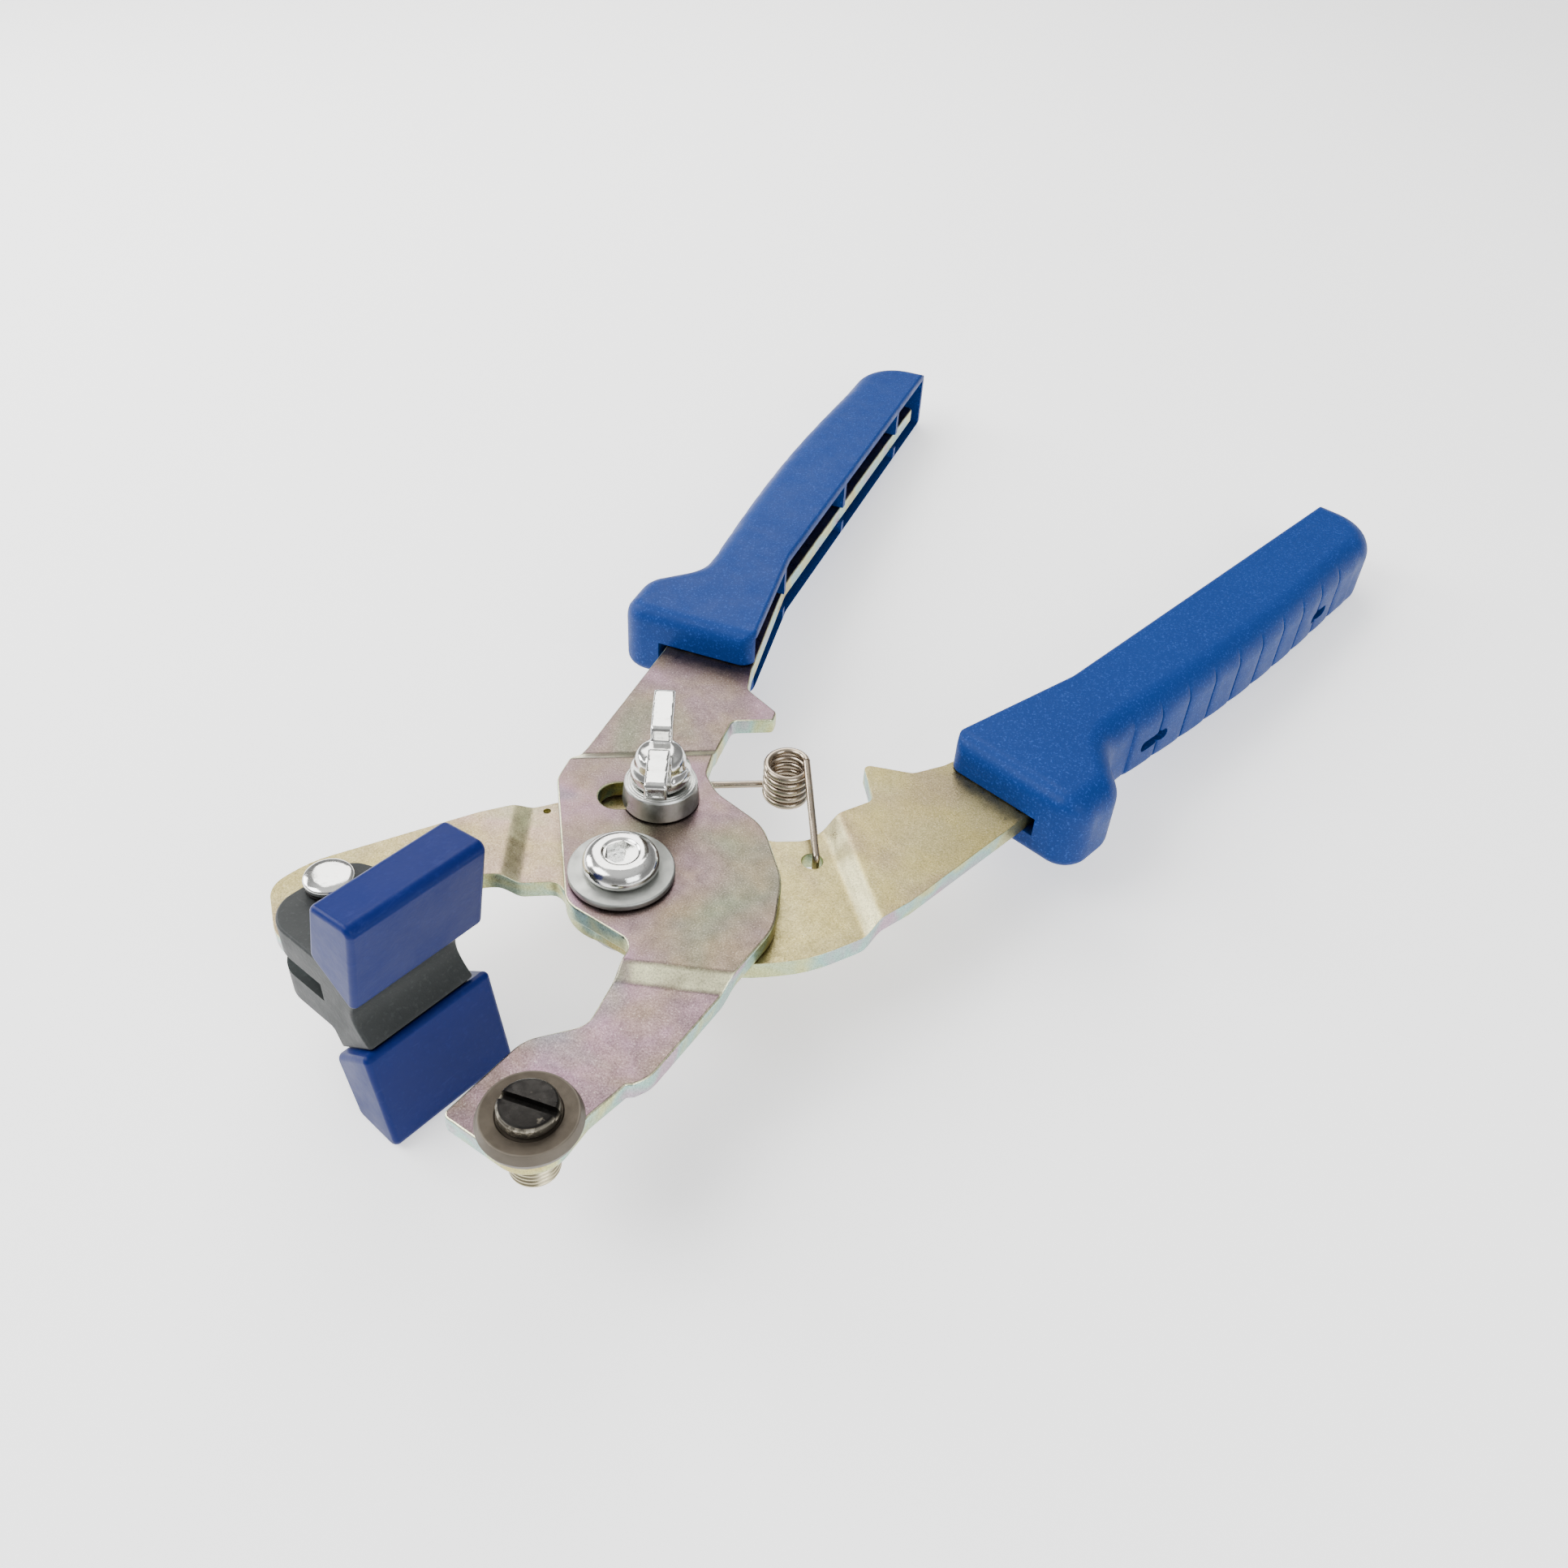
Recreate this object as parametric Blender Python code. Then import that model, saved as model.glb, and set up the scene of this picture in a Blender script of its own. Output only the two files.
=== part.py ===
"""Tile nippers of the plier type: a scoring wheel on one jaw, a swivelling breaker head on the other.

Two joggled steel levers cross at a pivot screw. Each carries a moulded grip. A torsion spring holds them
open, and a wing screw in an arc slot locks them. The sheet planes lie level, the grips point along +Y.
"""

import math

import bmesh
import bpy
from mathutils import Matrix, Vector

MM = 0.001

# ---------------------------------------------------------------- driving dimensions, in millimetres
# Pivot axis on the upper lever's top face, placed so that the whole box stands centred on the origin.
PIVOT = (-7.4, -71.17, 29.21)
GAP = 0.3                       # clearance kept between touching pieces
SHEET = 3.4                     # lever thickness
LOWER_TOP = -(SHEET + GAP)      # top face of the lower lever at the pivot
MID_TOP = LOWER_TOP / 2         # top face of both tangs and both jaws, which share one plane
MID = MID_TOP - SHEET / 2       # middle of that plane
JOGGLE_RUN = 3.0                # width of each sloped step
EDGE_ROUND = 0.35               # rounding of the punched edges

GRIP_TILT = math.radians(11.7)  # each grip leans out from the tool's long axis
MIRROR_X = 7.4                  # the grips mirror about this line beside the pivot
MIRROR_SHIFT = 3.3              # and the left one sits this much further along
GRIP_FRONT = 64.5               # where the grip's front face crosses the tang
GRIP_END = 201.9
GRIP_IN = 22.2                  # open inner side of the grip
GRIP_OUT = 39.4                 # ridged outer side
GUARD_OUT = 47.6                # outer side of the finger guard
GRIP_TOP = 5.9                  # the grips stand further above the tang than below it
GRIP_BOTTOM = -10.2
GRIP_WALL = 1.8
OUTER_ROUND = 5.2               # upper edge along the ridged side and round the end
FRONT_ROUND = 3.4               # upper edge of the front face
INNER_ROUND = 0.8               # edges of the open inner side
LOWER_ROUND = 2.4               # all the lower edges
RIB_PLACES = (93.4, 134.4, 176.2)
RIB_THICK = 1.6
WINDOWS = ((98.9, 8.6), (166.6, 6.8))  # start and length of the slots in the ridged side
RIDGE_START = 95.7
RIDGE_PITCH = 9.2
RIDGE_COUNT = 10
RIDGE_RISE = 0.45
TANG_END = 193.5
TANG_IN = 22.8
TANG_OUT = 35.6

SLOT_RADIUS = 19.8              # arc slot about the pivot
SLOT_HALF = 3.5
LOCK_ANGLE = math.radians(107.2)
CLOSE_ANGLE = math.radians(22.0)
LOCK = (SLOT_RADIUS * math.cos(LOCK_ANGLE), SLOT_RADIUS * math.sin(LOCK_ANGLE))

WHEEL = (19.4, -45.9)           # scoring wheel axis
WHEEL_RADIUS = 7.8
WHEEL_THICK = 3.0

BOLT = (-32.5, -32.7)           # swivel axis of the breaker head
HEAD_TURN = math.radians(-6.95) # direction the pads face
PAD_HALF_LENGTH = 12.4
PAD_SHIFT = -0.1                # the pads' middle, along the head from the bolt
BLOCK_NEAR = -10.8              # the block's two ends along the pads
BLOCK_FAR = 9.7
CHEEK_TOP = 8.2                 # cheek height above the middle plane

COIL = (8.6, 37.8)              # torsion spring
COIL_RADIUS = 3.6
WIRE = 1.35
COIL_TURNS = 5
COIL_PITCH = 1.58
COIL_BOTTOM = -5.4
LEG_HOLE = (-8.9, 28.6)         # spring hole in the upper lever
HOOK_HOLE = (22.7, 24.6)        # spring hole in the lower lever
HOOK = (23.3, 24.8)             # where the wire passes through it


# ---------------------------------------------------------------- scene, materials and placing
for old in list(bpy.data.objects):
    bpy.data.objects.remove(old, do_unlink=True)


def material(name, colour, roughness, metallic):
    mat = bpy.data.materials.new(name)
    mat.use_nodes = True
    shader = mat.node_tree.nodes["Principled BSDF"]
    shader.inputs["Base Color"].default_value = (*colour, 1.0)
    shader.inputs["Roughness"].default_value = roughness
    shader.inputs["Metallic"].default_value = metallic
    return mat


YELLOW_ZINC = material("yellow_zinc_plate", (0.62, 0.54, 0.42), 0.35, 1.0)
BRIGHT_ZINC = material("bright_zinc", (0.72, 0.73, 0.72), 0.25, 1.0)
CHROME = material("polished_steel", (0.82, 0.82, 0.80), 0.12, 1.0)
BLACK_STEEL = material("blackened_steel", (0.06, 0.055, 0.05), 0.4, 0.9)
CARBIDE = material("wheel_carbide", (0.26, 0.24, 0.20), 0.45, 0.9)
SPRING_STEEL = material("spring_steel", (0.60, 0.56, 0.50), 0.2, 1.0)
BLUE_GRIP = material("blue_grip_plastic", (0.025, 0.105, 0.34), 0.5, 0.0)
BLUE_PAD = material("royal_blue_pad", (0.018, 0.06, 0.36), 0.4, 0.0)
GREY_BLOCK = material("dark_grey_plastic", (0.06, 0.065, 0.063), 0.5, 0.0)


def axis_empty(name, x, y, parent=None):
    """An empty on a vertical axis. x and y are measured from the pivot."""
    empty = bpy.data.objects.new(name, None)
    bpy.context.scene.collection.objects.link(empty)
    if parent is None:
        empty.location = [value * MM for value in PIVOT]
        empty["at"] = (0.0, 0.0)
    else:
        home = parent["at"]
        empty.parent = parent
        empty.location = ((x - home[0]) * MM, (y - home[1]) * MM, 0.0)
        empty["at"] = (x, y)
    return empty


TOOL = axis_empty("tool_frame", 0, 0)
BREAKER_AXIS = axis_empty("breaker_lever_axis", 0, 0, TOOL)
WHEEL_AXIS = axis_empty("wheel_axis", *WHEEL, TOOL)
WING_AXIS = axis_empty("wing_axis", *LOCK, BREAKER_AXIS)
HEAD_AXIS = axis_empty("head_axis", *BOLT, BREAKER_AXIS)
HEAD_AXIS.rotation_euler = (0.0, 0.0, HEAD_TURN)


def finish_object(name, bm, mat, parent, local=(0.0, 0.0), smooth=None):
    """Turns a bmesh in millimetres into a named object, its origin on the parent's axis."""
    bmesh.ops.recalc_face_normals(bm, faces=bm.faces)
    bmesh.ops.scale(bm, vec=(MM, MM, MM), verts=bm.verts)
    mesh = bpy.data.meshes.new(name)
    bm.to_mesh(mesh)
    bm.free()
    mesh.materials.append(mat)
    if smooth is not None:
        mesh.shade_smooth()
        mesh.set_sharp_from_angle(angle=math.radians(smooth))
    obj = bpy.data.objects.new(name, mesh)
    bpy.context.scene.collection.objects.link(obj)
    obj.parent = parent
    obj.location = (local[0] * MM, local[1] * MM, 0.0)
    return obj


def boolean(obj, tool, operation="DIFFERENCE"):
    """Cuts or joins with a hidden tool that shares the object's parent."""
    tool.parent = obj.parent
    tool.hide_render = True
    tool.display_type = "WIRE"
    mod = obj.modifiers.new(tool.name, "BOOLEAN")
    mod.operation = operation
    mod.solver = "EXACT"
    mod.object = tool
    return mod


def bevel(obj, width, segments, angle):
    mod = obj.modifiers.new("edges", "BEVEL")
    mod.width = width * MM
    mod.segments = segments
    mod.limit_method = "ANGLE"
    mod.angle_limit = math.radians(angle)
    mod.use_clamp_overlap = True
    return mod


# ---------------------------------------------------------------- shape helpers
def rounded(points, step=18.0):
    """A closed outline from corners (x, y, radius): each corner becomes an arc."""
    out = []
    count = len(points)
    for i, (x, y, radius) in enumerate(points):
        corner = Vector((x, y))
        back = (Vector(points[i - 1][:2]) - corner).normalized()
        ahead = (Vector(points[(i + 1) % count][:2]) - corner).normalized()
        half = back.angle(ahead) / 2
        if radius <= 0 or half > math.radians(89):
            out.append((x, y))
            continue
        reach = radius / math.tan(half)
        centre = corner + (back + ahead).normalized() * (radius / math.sin(half))
        start = corner + back * reach - centre
        end = corner + ahead * reach - centre
        turn = start.angle_signed(end)
        pieces = max(2, math.ceil(abs(math.degrees(turn)) / step - 0.01))
        for k in range(pieces + 1):
            spoke = Matrix.Rotation(-turn * k / pieces, 2) @ start
            out.append(tuple(centre + spoke))
    return out


def circle(x, y, radius, sides=24):
    angles = [2 * math.pi * k / sides for k in range(sides)]
    return [(x + radius * math.cos(a), y + radius * math.sin(a)) for a in angles]


def prism(outline, low, high):
    """A bmesh of the outline pulled up from low to high."""
    bm = bmesh.new()
    face = bm.faces.new([bm.verts.new((x, y, low)) for x, y in outline])
    top = bmesh.ops.extrude_face_region(bm, geom=[face])
    raised = [item for item in top["geom"] if isinstance(item, bmesh.types.BMVert)]
    bmesh.ops.translate(bm, vec=(0, 0, high - low), verts=raised)
    return bm


def turned(profile, sides=32):
    """A bmesh turned about Z from (radius, height) points, on a closed line or one that ends on the axis."""
    bm = bmesh.new()
    rings = []
    for radius, height in profile:
        if radius == 0:
            rings.append([bm.verts.new((0, 0, height))])
        else:
            rings.append([bm.verts.new((x, y, height)) for x, y in circle(0, 0, radius, sides)])
    pairs = list(zip(rings, rings[1:]))
    if profile[0][0] > 0:
        pairs.append((rings[-1], rings[0]))
    for lower, upper in pairs:
        for k in range(sides):
            corners = []
            for ring, place in ((lower, k), (lower, k + 1), (upper, k + 1), (upper, k)):
                vert = ring[place % len(ring)]
                if vert not in corners:
                    corners.append(vert)
            bm.faces.new(corners)
    return bm


def cutter(name, bm, parent, local=(0.0, 0.0)):
    return finish_object(name, bm, BLACK_STEEL, parent, local)


def arc_points(radius, start, end, pieces, centre=(0.0, 0.0)):
    angles = [start + (end - start) * k / pieces for k in range(pieces + 1)]
    return [(centre[0] + radius * math.cos(a), centre[1] + radius * math.sin(a)) for a in angles]


def grip_point(along, across, side):
    """Grip coordinates to the tool's plane. side is 1 for the right grip and -1 for the left."""
    x = along * math.sin(GRIP_TILT) + across * math.cos(GRIP_TILT)
    y = along * math.cos(GRIP_TILT) - across * math.sin(GRIP_TILT)
    if side > 0:
        return x, y
    return 2 * MIRROR_X - x, y + MIRROR_SHIFT


# ---------------------------------------------------------------- the two steel levers
class Joggle:
    """A straight bend step: the sheet shifts by rise over JOGGLE_RUN past a line through two points."""

    def __init__(self, first, second, towards, rise):
        self.point = Vector(first)
        line = (Vector(second) - self.point).normalized()
        normal = Vector((-line.y, line.x))
        if normal.dot(Vector(towards) - self.point) < 0:
            normal = -normal
        self.normal = normal
        self.rise = rise

    def lift(self, x, y):
        distance = (Vector((x, y)) - self.point).dot(self.normal)
        return self.rise * min(max(distance / JOGGLE_RUN, 0.0), 1.0)

    def split(self, bm):
        """Adds an edge across the sheet at both ends of the slope."""
        for distance in (0.0, JOGGLE_RUN):
            place = self.point + self.normal * distance
            everything = bm.verts[:] + bm.edges[:] + bm.faces[:]
            bmesh.ops.bisect_plane(
                bm, geom=everything, dist=1e-5, plane_co=(place.x, place.y, 0),
                plane_no=(self.normal.x, self.normal.y, 0))


def lever(name, corners, top, joggles, holes, parent):
    """One punched and joggled sheet with rounded edges. holes are outlines cut right through."""
    bm = bmesh.new()
    bm.faces.new([bm.verts.new((x, y, top)) for x, y in rounded(corners)])
    for joggle in joggles:
        joggle.split(bm)
    flat = bm.faces[:]
    pulled = bmesh.ops.extrude_face_region(bm, geom=flat)
    lower = [item for item in pulled["geom"] if isinstance(item, bmesh.types.BMVert)]
    bmesh.ops.translate(bm, vec=(0, 0, -SHEET), verts=lower)
    for vert in bm.verts:
        vert.co.z += sum(joggle.lift(vert.co.x, vert.co.y) for joggle in joggles)
    plate = finish_object(name, bm, YELLOW_ZINC, parent)
    bevel(plate, EDGE_ROUND, 1, 60)
    for number, hole in enumerate(holes):
        tool = cutter(f"{name}_hole_{number}", prism(hole, top - 3 * SHEET, top + 3 * SHEET), parent)
        boolean(plate, tool)
    return plate


def tang(side):
    """Corners of the part of a lever that lies in its grip, from the mouth round the end and back."""
    along_across = (
        (GRIP_FRONT, 36.8, 0), (90, TANG_OUT, 12), (TANG_END, TANG_OUT, 4),
        (TANG_END, TANG_IN, 1.5), (97, TANG_IN, 12), (GRIP_FRONT, 17.6, 0))
    return [(*grip_point(along, across, side), radius) for along, across, radius in along_across]


def wheel_lever_corners():
    lug = [(-12.6, 57.1, 2), (-4.0, 54.3, 1.4), (-3.2, 51.8, 1.0), (-9.4, 46.8, 1.6)]
    right = [(-7.0, 38.5, 6), (-5.4, 34.6, 4), (-3.3, 29.4, 4), (1.2, 26.3, 8), (12.8, 24.0, 12),
             (22.6, 14.8, 14),
             (27.7, 4.6, 12)]
    jaw_outside = [(28.2, -29.6, 6), (26.9, -32.0, 0.5), (26.1, -32.6, 0.5), (25.0, -40.0, 8),
                   (25.8, -52.2, 6.4)]
    jaw_inside = [(7.7, -51.6, 1.2), (8.4, -34.8, 7), (14.4, -27.2, 4), (10.7, -11.2, 3.0)]
    boss = [(-3.4, -10.6, 6), (-24.4, 12.5, 5), (-26.3, 18.6, 5), (-26.9, 24.0, 5)]
    inner = list(reversed(tang(-1)))
    return inner + boss_order(boss, jaw_inside, jaw_outside, right, lug)


def boss_order(boss, jaw_inside, jaw_outside, right, lug):
    """The rest of the upper lever's outline, from the tang's outer edge round the jaw to its lug."""
    return boss[::-1] + jaw_inside[::-1] + jaw_outside[::-1] + right[::-1] + lug[::-1]


def breaker_lever_corners():
    outside = [(42.3, 24.6, 6), (40.1, 18.2, 6), (39.3, 14.2, 10), (34.4, 4.9, 25), (26.6, -2.1, 25),
               (12.0, -9.4, 16)]
    boss = arc_points(9.6, math.radians(-75), math.radians(-140), 5)
    throat = [(-9.8, -4.9, 2.5), (-14.9, -9.0, 8)]
    jaw_inside = [(-20.2, -12.0, 8), (-25.0, -22.5, 16), (-26.2, -33.0, 10), (-28.5, -42.0, 3)]
    jaw_tip = [(-37.5, -41.4, 7), (-46.3, -34.6, 5)]
    jaw_outside = [(-45.4, -27.0, 20), (-30.9, -0.9, 14), (-24.6, 7.9, 10), (-16.8, 19.0, 8)]
    rear = arc_points(25.5, math.radians(115), math.radians(84), 4)
    neck = [(14.0, 24.4, 4), (19.4, 28.6, 5), (20.9, 36.4, 8), (24.3, 43.0, 2.0)]
    lug = [(17.6, 50.6, 1.2), (26.6, 54.0, 3)]
    plain_boss = [(x, y, 0) for x, y in boss]
    plain_rear = [(x, y, 0) for x, y in rear]
    outline = outside + plain_boss + throat + jaw_inside + jaw_tip + jaw_outside + plain_rear + neck + lug
    return outline + list(reversed(tang(1)))


def slot_outline():
    """The arc slot: its ends stop the lock collar with the levers fully open and fully closed."""
    start = LOCK_ANGLE - math.radians(1.0)
    end = LOCK_ANGLE + CLOSE_ANGLE + math.radians(0.4)
    outer = arc_points(SLOT_RADIUS + SLOT_HALF, start, end, 6)
    inner = arc_points(SLOT_RADIUS - SLOT_HALF, end, start, 6)
    far_end = (SLOT_RADIUS * math.cos(end), SLOT_RADIUS * math.sin(end))
    near_end = (SLOT_RADIUS * math.cos(start), SLOT_RADIUS * math.sin(start))
    cap_far = arc_points(SLOT_HALF, end, end + math.pi, 8, far_end)[1:-1]
    cap_near = arc_points(SLOT_HALF, start + math.pi, start + 2 * math.pi, 8, near_end)[1:-1]
    return outer + cap_far + inner + cap_near


def build_levers():
    upper_joggles = [
        Joggle((-26.5, 17.9), (-5.4, 34.6), (-20, 50), MID_TOP),
        Joggle((11.3, -15.3), (26.7, -7.7), (20, -45), MID_TOP)]
    lower_joggles = [
        Joggle((19.8, 32.9), (39.2, 14.9), (40, 45), -MID_TOP),
        Joggle((-25.7, 7.2), (-15.9, -7.6), (-40, -20), -MID_TOP)]
    upper_holes = [circle(0, 0, 3.3), slot_outline(), circle(*WHEEL, 2.8), circle(*LEG_HOLE, 0.9, 12)]
    lower_holes = [circle(0, 0, 3.3), circle(*LOCK, 2.8), circle(*HOOK_HOLE, 1.9, 16), circle(*BOLT, 2.8)]
    lever("wheel_lever", wheel_lever_corners(), 0.0, upper_joggles, upper_holes, TOOL)
    plate = lever("breaker_lever", breaker_lever_corners(), LOWER_TOP, lower_joggles, lower_holes,
                  BREAKER_AXIS)
    dimple = prism(circle(-22.8, 7.6, 0.6, 10), LOWER_TOP - 0.8, LOWER_TOP + 1)
    boolean(plate, cutter("breaker_lever_dimple", dimple, BREAKER_AXIS))


# ---------------------------------------------------------------- grips
def ridged_side():
    """Outer side of the grip: shallow bulges between grooves, on a slightly swelling line."""
    points = []
    for ridge in range(RIDGE_COUNT):
        for part in range(4):
            along = RIDGE_START + RIDGE_PITCH * (ridge + part / 4)
            share = (along - RIDGE_START) / (RIDGE_PITCH * RIDGE_COUNT)
            swell = 1.7 * math.sin(math.pi * min(share * 1.05, 1.0)) - 0.6
            across = GRIP_OUT + swell + RIDGE_RISE * math.sin(math.pi * part / 4)
            points.append((along, across))
    return points


def grip_corners():
    """Corners (along, across, radius) of the widest outline, and the upper edge rounding after each."""
    front = [(GRIP_FRONT, 17.6, 3.0), (GRIP_FRONT, GUARD_OUT, 5.5), (77.3, GUARD_OUT, 7.0),
             (86.0, GRIP_OUT - 0.6, 9.0)]
    back = [(GRIP_END, GRIP_OUT - 0.7, 12.0), (GRIP_END, GRIP_IN, 2.5), (97.0, GRIP_IN, 14.0)]
    ridges = [(along, across, 0) for along, across in ridged_side()]
    edges = [FRONT_ROUND] + [OUTER_ROUND] * (len(ridges) + 4) + [INNER_ROUND, INNER_ROUND]
    return front + ridges + back, edges


def edge_inset(height, rounding):
    """How far a rounded edge has drawn in at this height."""
    if height > MID:
        return rounding - math.sqrt(max(rounding ** 2 - max(height - GRIP_TOP + rounding, 0.0) ** 2, 0.0))
    drop = max(GRIP_BOTTOM + LOWER_ROUND - height, 0.0)
    return LOWER_ROUND - math.sqrt(max(LOWER_ROUND ** 2 - drop ** 2, 0.0))


def grip_outline(side, height):
    """The grip's outline at one height: every edge of the widest outline drawn in by its own rounding."""
    corners, edges = grip_corners()
    insets = [edge_inset(height, rounding) for rounding in edges]
    count = len(corners)
    plan = []
    for i, (along, across, radius) in enumerate(corners):
        here = Vector((along, across))
        before = (here - Vector(corners[i - 1][:2])).normalized()
        after = (Vector(corners[(i + 1) % count][:2]) - here).normalized()
        normals = [Vector((line.y, -line.x)) for line in (before, after)]
        turn = before.cross(after)
        if abs(turn) < 0.15:
            shift = (normals[0] + normals[1]).normalized() * insets[i]
        else:
            rows = Matrix(((normals[0].x, normals[0].y), (normals[1].x, normals[1].y)))
            shift = rows.inverted() @ Vector((insets[i - 1], insets[i]))
        drawn_in = max(insets[i - 1], insets[i])
        if radius > 0:
            radius = max(radius - drawn_in, 0.4) if turn < 0 else radius + drawn_in
        plan.append((*(here + shift), radius))
    return [grip_point(along, across, side) for along, across in rounded(plan, 15.0)]


def grip_box(along, across, heights, side):
    """A block-shaped bmesh in grip coordinates."""
    corners = ((along[0], across[0]), (along[1], across[0]), (along[1], across[1]), (along[0], across[1]))
    outline = [grip_point(s, w, side) for s, w in corners]
    return prism(outline, *heights)


def grip_body(side):
    """A bmesh stacked from outlines, closed by a flat face at each end."""
    heights = [GRIP_BOTTOM + LOWER_ROUND * (1 - math.cos(math.radians(turn))) for turn in (0, 45, 90)]
    heights += [GRIP_TOP - OUTER_ROUND * (1 - math.sin(math.radians(turn)))
                for turn in (0, 18, 36, 54, 72, 90)]
    bm = bmesh.new()
    rings = [[bm.verts.new((x, y, height)) for x, y in grip_outline(side, height)] for height in heights]
    for lower, upper in zip(rings, rings[1:]):
        for k in range(len(lower)):
            bm.faces.new((lower[k - 1], lower[k], upper[k], upper[k - 1]))
    bm.faces.new(rings[0])
    bm.faces.new(rings[-1])
    return bm


def grip(name, side, parent):
    """A one-piece moulding, open on its inner side, with cross ribs that hold the tang."""
    low = GRIP_BOTTOM
    high = GRIP_TOP
    shell = finish_object(name, grip_body(side), BLUE_GRIP, parent, smooth=35)
    bays = [GRIP_FRONT + 2.4] + [place + RIB_THICK / 2 for place in RIB_PLACES]
    ends = [place - RIB_THICK / 2 for place in RIB_PLACES] + [GRIP_END - 3.6]
    for number, (start, stop) in enumerate(zip(bays, ends)):
        heights = (low + GRIP_WALL, high - GRIP_WALL)
        bay = grip_box((start, stop), (10.0, 34.4), heights, side)
        boolean(shell, cutter(f"{name}_bay_{number}", bay, parent))
    slot_plan = [(GRIP_FRONT - 5, 10.0), (GRIP_FRONT - 5, 38.6), (84.0, 38.6), (84.0, TANG_OUT + 0.5),
                 (TANG_END + GAP, TANG_OUT + GAP), (TANG_END + GAP, 10.0)]
    slot_plan = [grip_point(along, across, side) for along, across in slot_plan]
    tang_slot = prism(slot_plan, MID - SHEET / 2 - GAP, MID + SHEET / 2 + GAP)
    boolean(shell, cutter(f"{name}_tang_slot", tang_slot, parent))
    for number, (start, length) in enumerate(WINDOWS):
        window = grip_box((start, start + length), (35.0, 45.0), (MID - 1.2, MID + 1.2), side)
        boolean(shell, cutter(f"{name}_window_{number}", window, parent))
    return shell


# ---------------------------------------------------------------- pivot and lock
def hexagon(flats):
    return circle(0, 0, flats / math.sqrt(3), 6)


def ring_washer(name, low, inner, outer, thick, mat, parent, place):
    ring = turned([(inner, low), (outer, low), (outer, low + thick), (inner, low + thick)], 28)
    return finish_object(name, ring, mat, parent, place, smooth=35)


def build_pivot():
    top = GAP
    washer = turned([(3.3, top), (9.0, top), (9.0, top + 1.0), (8.8, top + 1.2), (3.3, top + 1.2)], 40)
    finish_object("pivot_washer", washer, BRIGHT_ZINC, TOOL, smooth=35)
    seat = top + 1.2 + GAP
    profile = [(0, -15.6), (2.7, -15.6), (3.0, -15.2), (3.0, seat), (5.8, seat), (6.3, seat + 0.35)]
    profile += [(3.9 + 2.6 * math.cos(a), seat + 0.9 + 2.5 * math.sin(a))
                for a in (math.radians(d) for d in (0, 20, 40, 60, 80))]
    profile += [(3.9, seat + 3.4), (3.3, seat + 3.4), (2.9, seat + 3.1), (0, seat + 3.1)]
    screw = finish_object("pivot_screw", turned(profile, 32), CHROME, TOOL, smooth=35)
    boolean(screw, cutter("pivot_screw_socket", prism(hexagon(5.0), seat + 0.7, seat + 5), TOOL))
    under = LOWER_TOP - SHEET - GAP
    ring_washer("pivot_lower_washer", under - 1.2, 3.3, 6.2, 1.2, BRIGHT_ZINC, TOOL, (0.0, 0.0))
    nut_top = under - 1.2 - GAP
    nut = finish_object("pivot_lock_nut", prism(hexagon(10.0), nut_top - 5.0, nut_top), BRIGHT_ZINC, TOOL)
    bevel(nut, 0.3, 1, 50)
    boolean(nut, cutter("pivot_lock_nut_bore", prism(circle(0, 0, 3.3), nut_top - 9, nut_top + 3), TOOL))


def build_lock():
    """The collar's spigot rides in the arc slot; the wing screw clamps the collar on the upper lever."""
    profile = [(2.8, LOWER_TOP + GAP), (3.15, LOWER_TOP + GAP), (3.15, GAP), (6.8, GAP), (6.85, GAP + 0.3),
               (6.45, 4.3), (6.2, 4.6), (2.8, 4.6)]
    collar = turned(profile, 32)
    finish_object("lock_collar", collar, BRIGHT_ZINC, BREAKER_AXIS, LOCK, smooth=35)
    ring_washer("lock_lower_washer", LOWER_TOP - SHEET - GAP - 1.0, 2.8, 5.0, 1.0, BRIGHT_ZINC,
                BREAKER_AXIS, LOCK)
    under = LOWER_TOP - SHEET - 2 * GAP - 1.0
    nut = finish_object("lock_nut", prism(hexagon(8.0), under - 4.0, under), BRIGHT_ZINC, BREAKER_AXIS, LOCK)
    bevel(nut, 0.3, 1, 50)
    bore = cutter("lock_nut_bore", prism(circle(0, 0, 2.8), under - 9, under + 3), BREAKER_AXIS, LOCK)
    boolean(nut, bore)
    base = 4.6 + GAP
    hub = [(0, under - 4.8), (2.2, under - 4.8), (2.5, under - 4.5), (2.5, base), (4.7, base),
           (5.3, base + 0.8), (5.4, base + 2.4), (5.0, base + 3.1), (4.6, base + 3.5), (4.4, base + 5.0),
           (3.9, base + 6.0), (2.4, base + 6.5), (0, base + 6.7)]
    screw = finish_object("wing_screw", turned(hub, 32), CHROME, WING_AXIS, smooth=35)
    right_wing = [(1.8, 11.0, 0.8), (2.7, 13.9, 0.8), (13.1, 14.7, 1.1), (13.1, 11.6, 1.1), (4.9, 7.0, 3.0)]
    left_wing = [(-along, height, radius) for along, height, radius in reversed(right_wing)]
    wing = rounded(left_wing + right_wing, 30.0)
    bar = prism(wing, -1.75, 1.75)
    bmesh.ops.rotate(bar, verts=bar.verts, cent=(0, 0, 0), matrix=Matrix.Rotation(math.radians(90), 3, "X"))
    turn = Matrix.Rotation(math.radians(122.8), 3, "Z")
    bmesh.ops.rotate(bar, verts=bar.verts, cent=(0, 0, 0), matrix=turn)
    bar_tool = cutter("wing_screw_bar", bar, WING_AXIS)
    bevel(bar_tool, 0.7, 2, 50)
    boolean(screw, bar_tool, "UNION")


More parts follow.
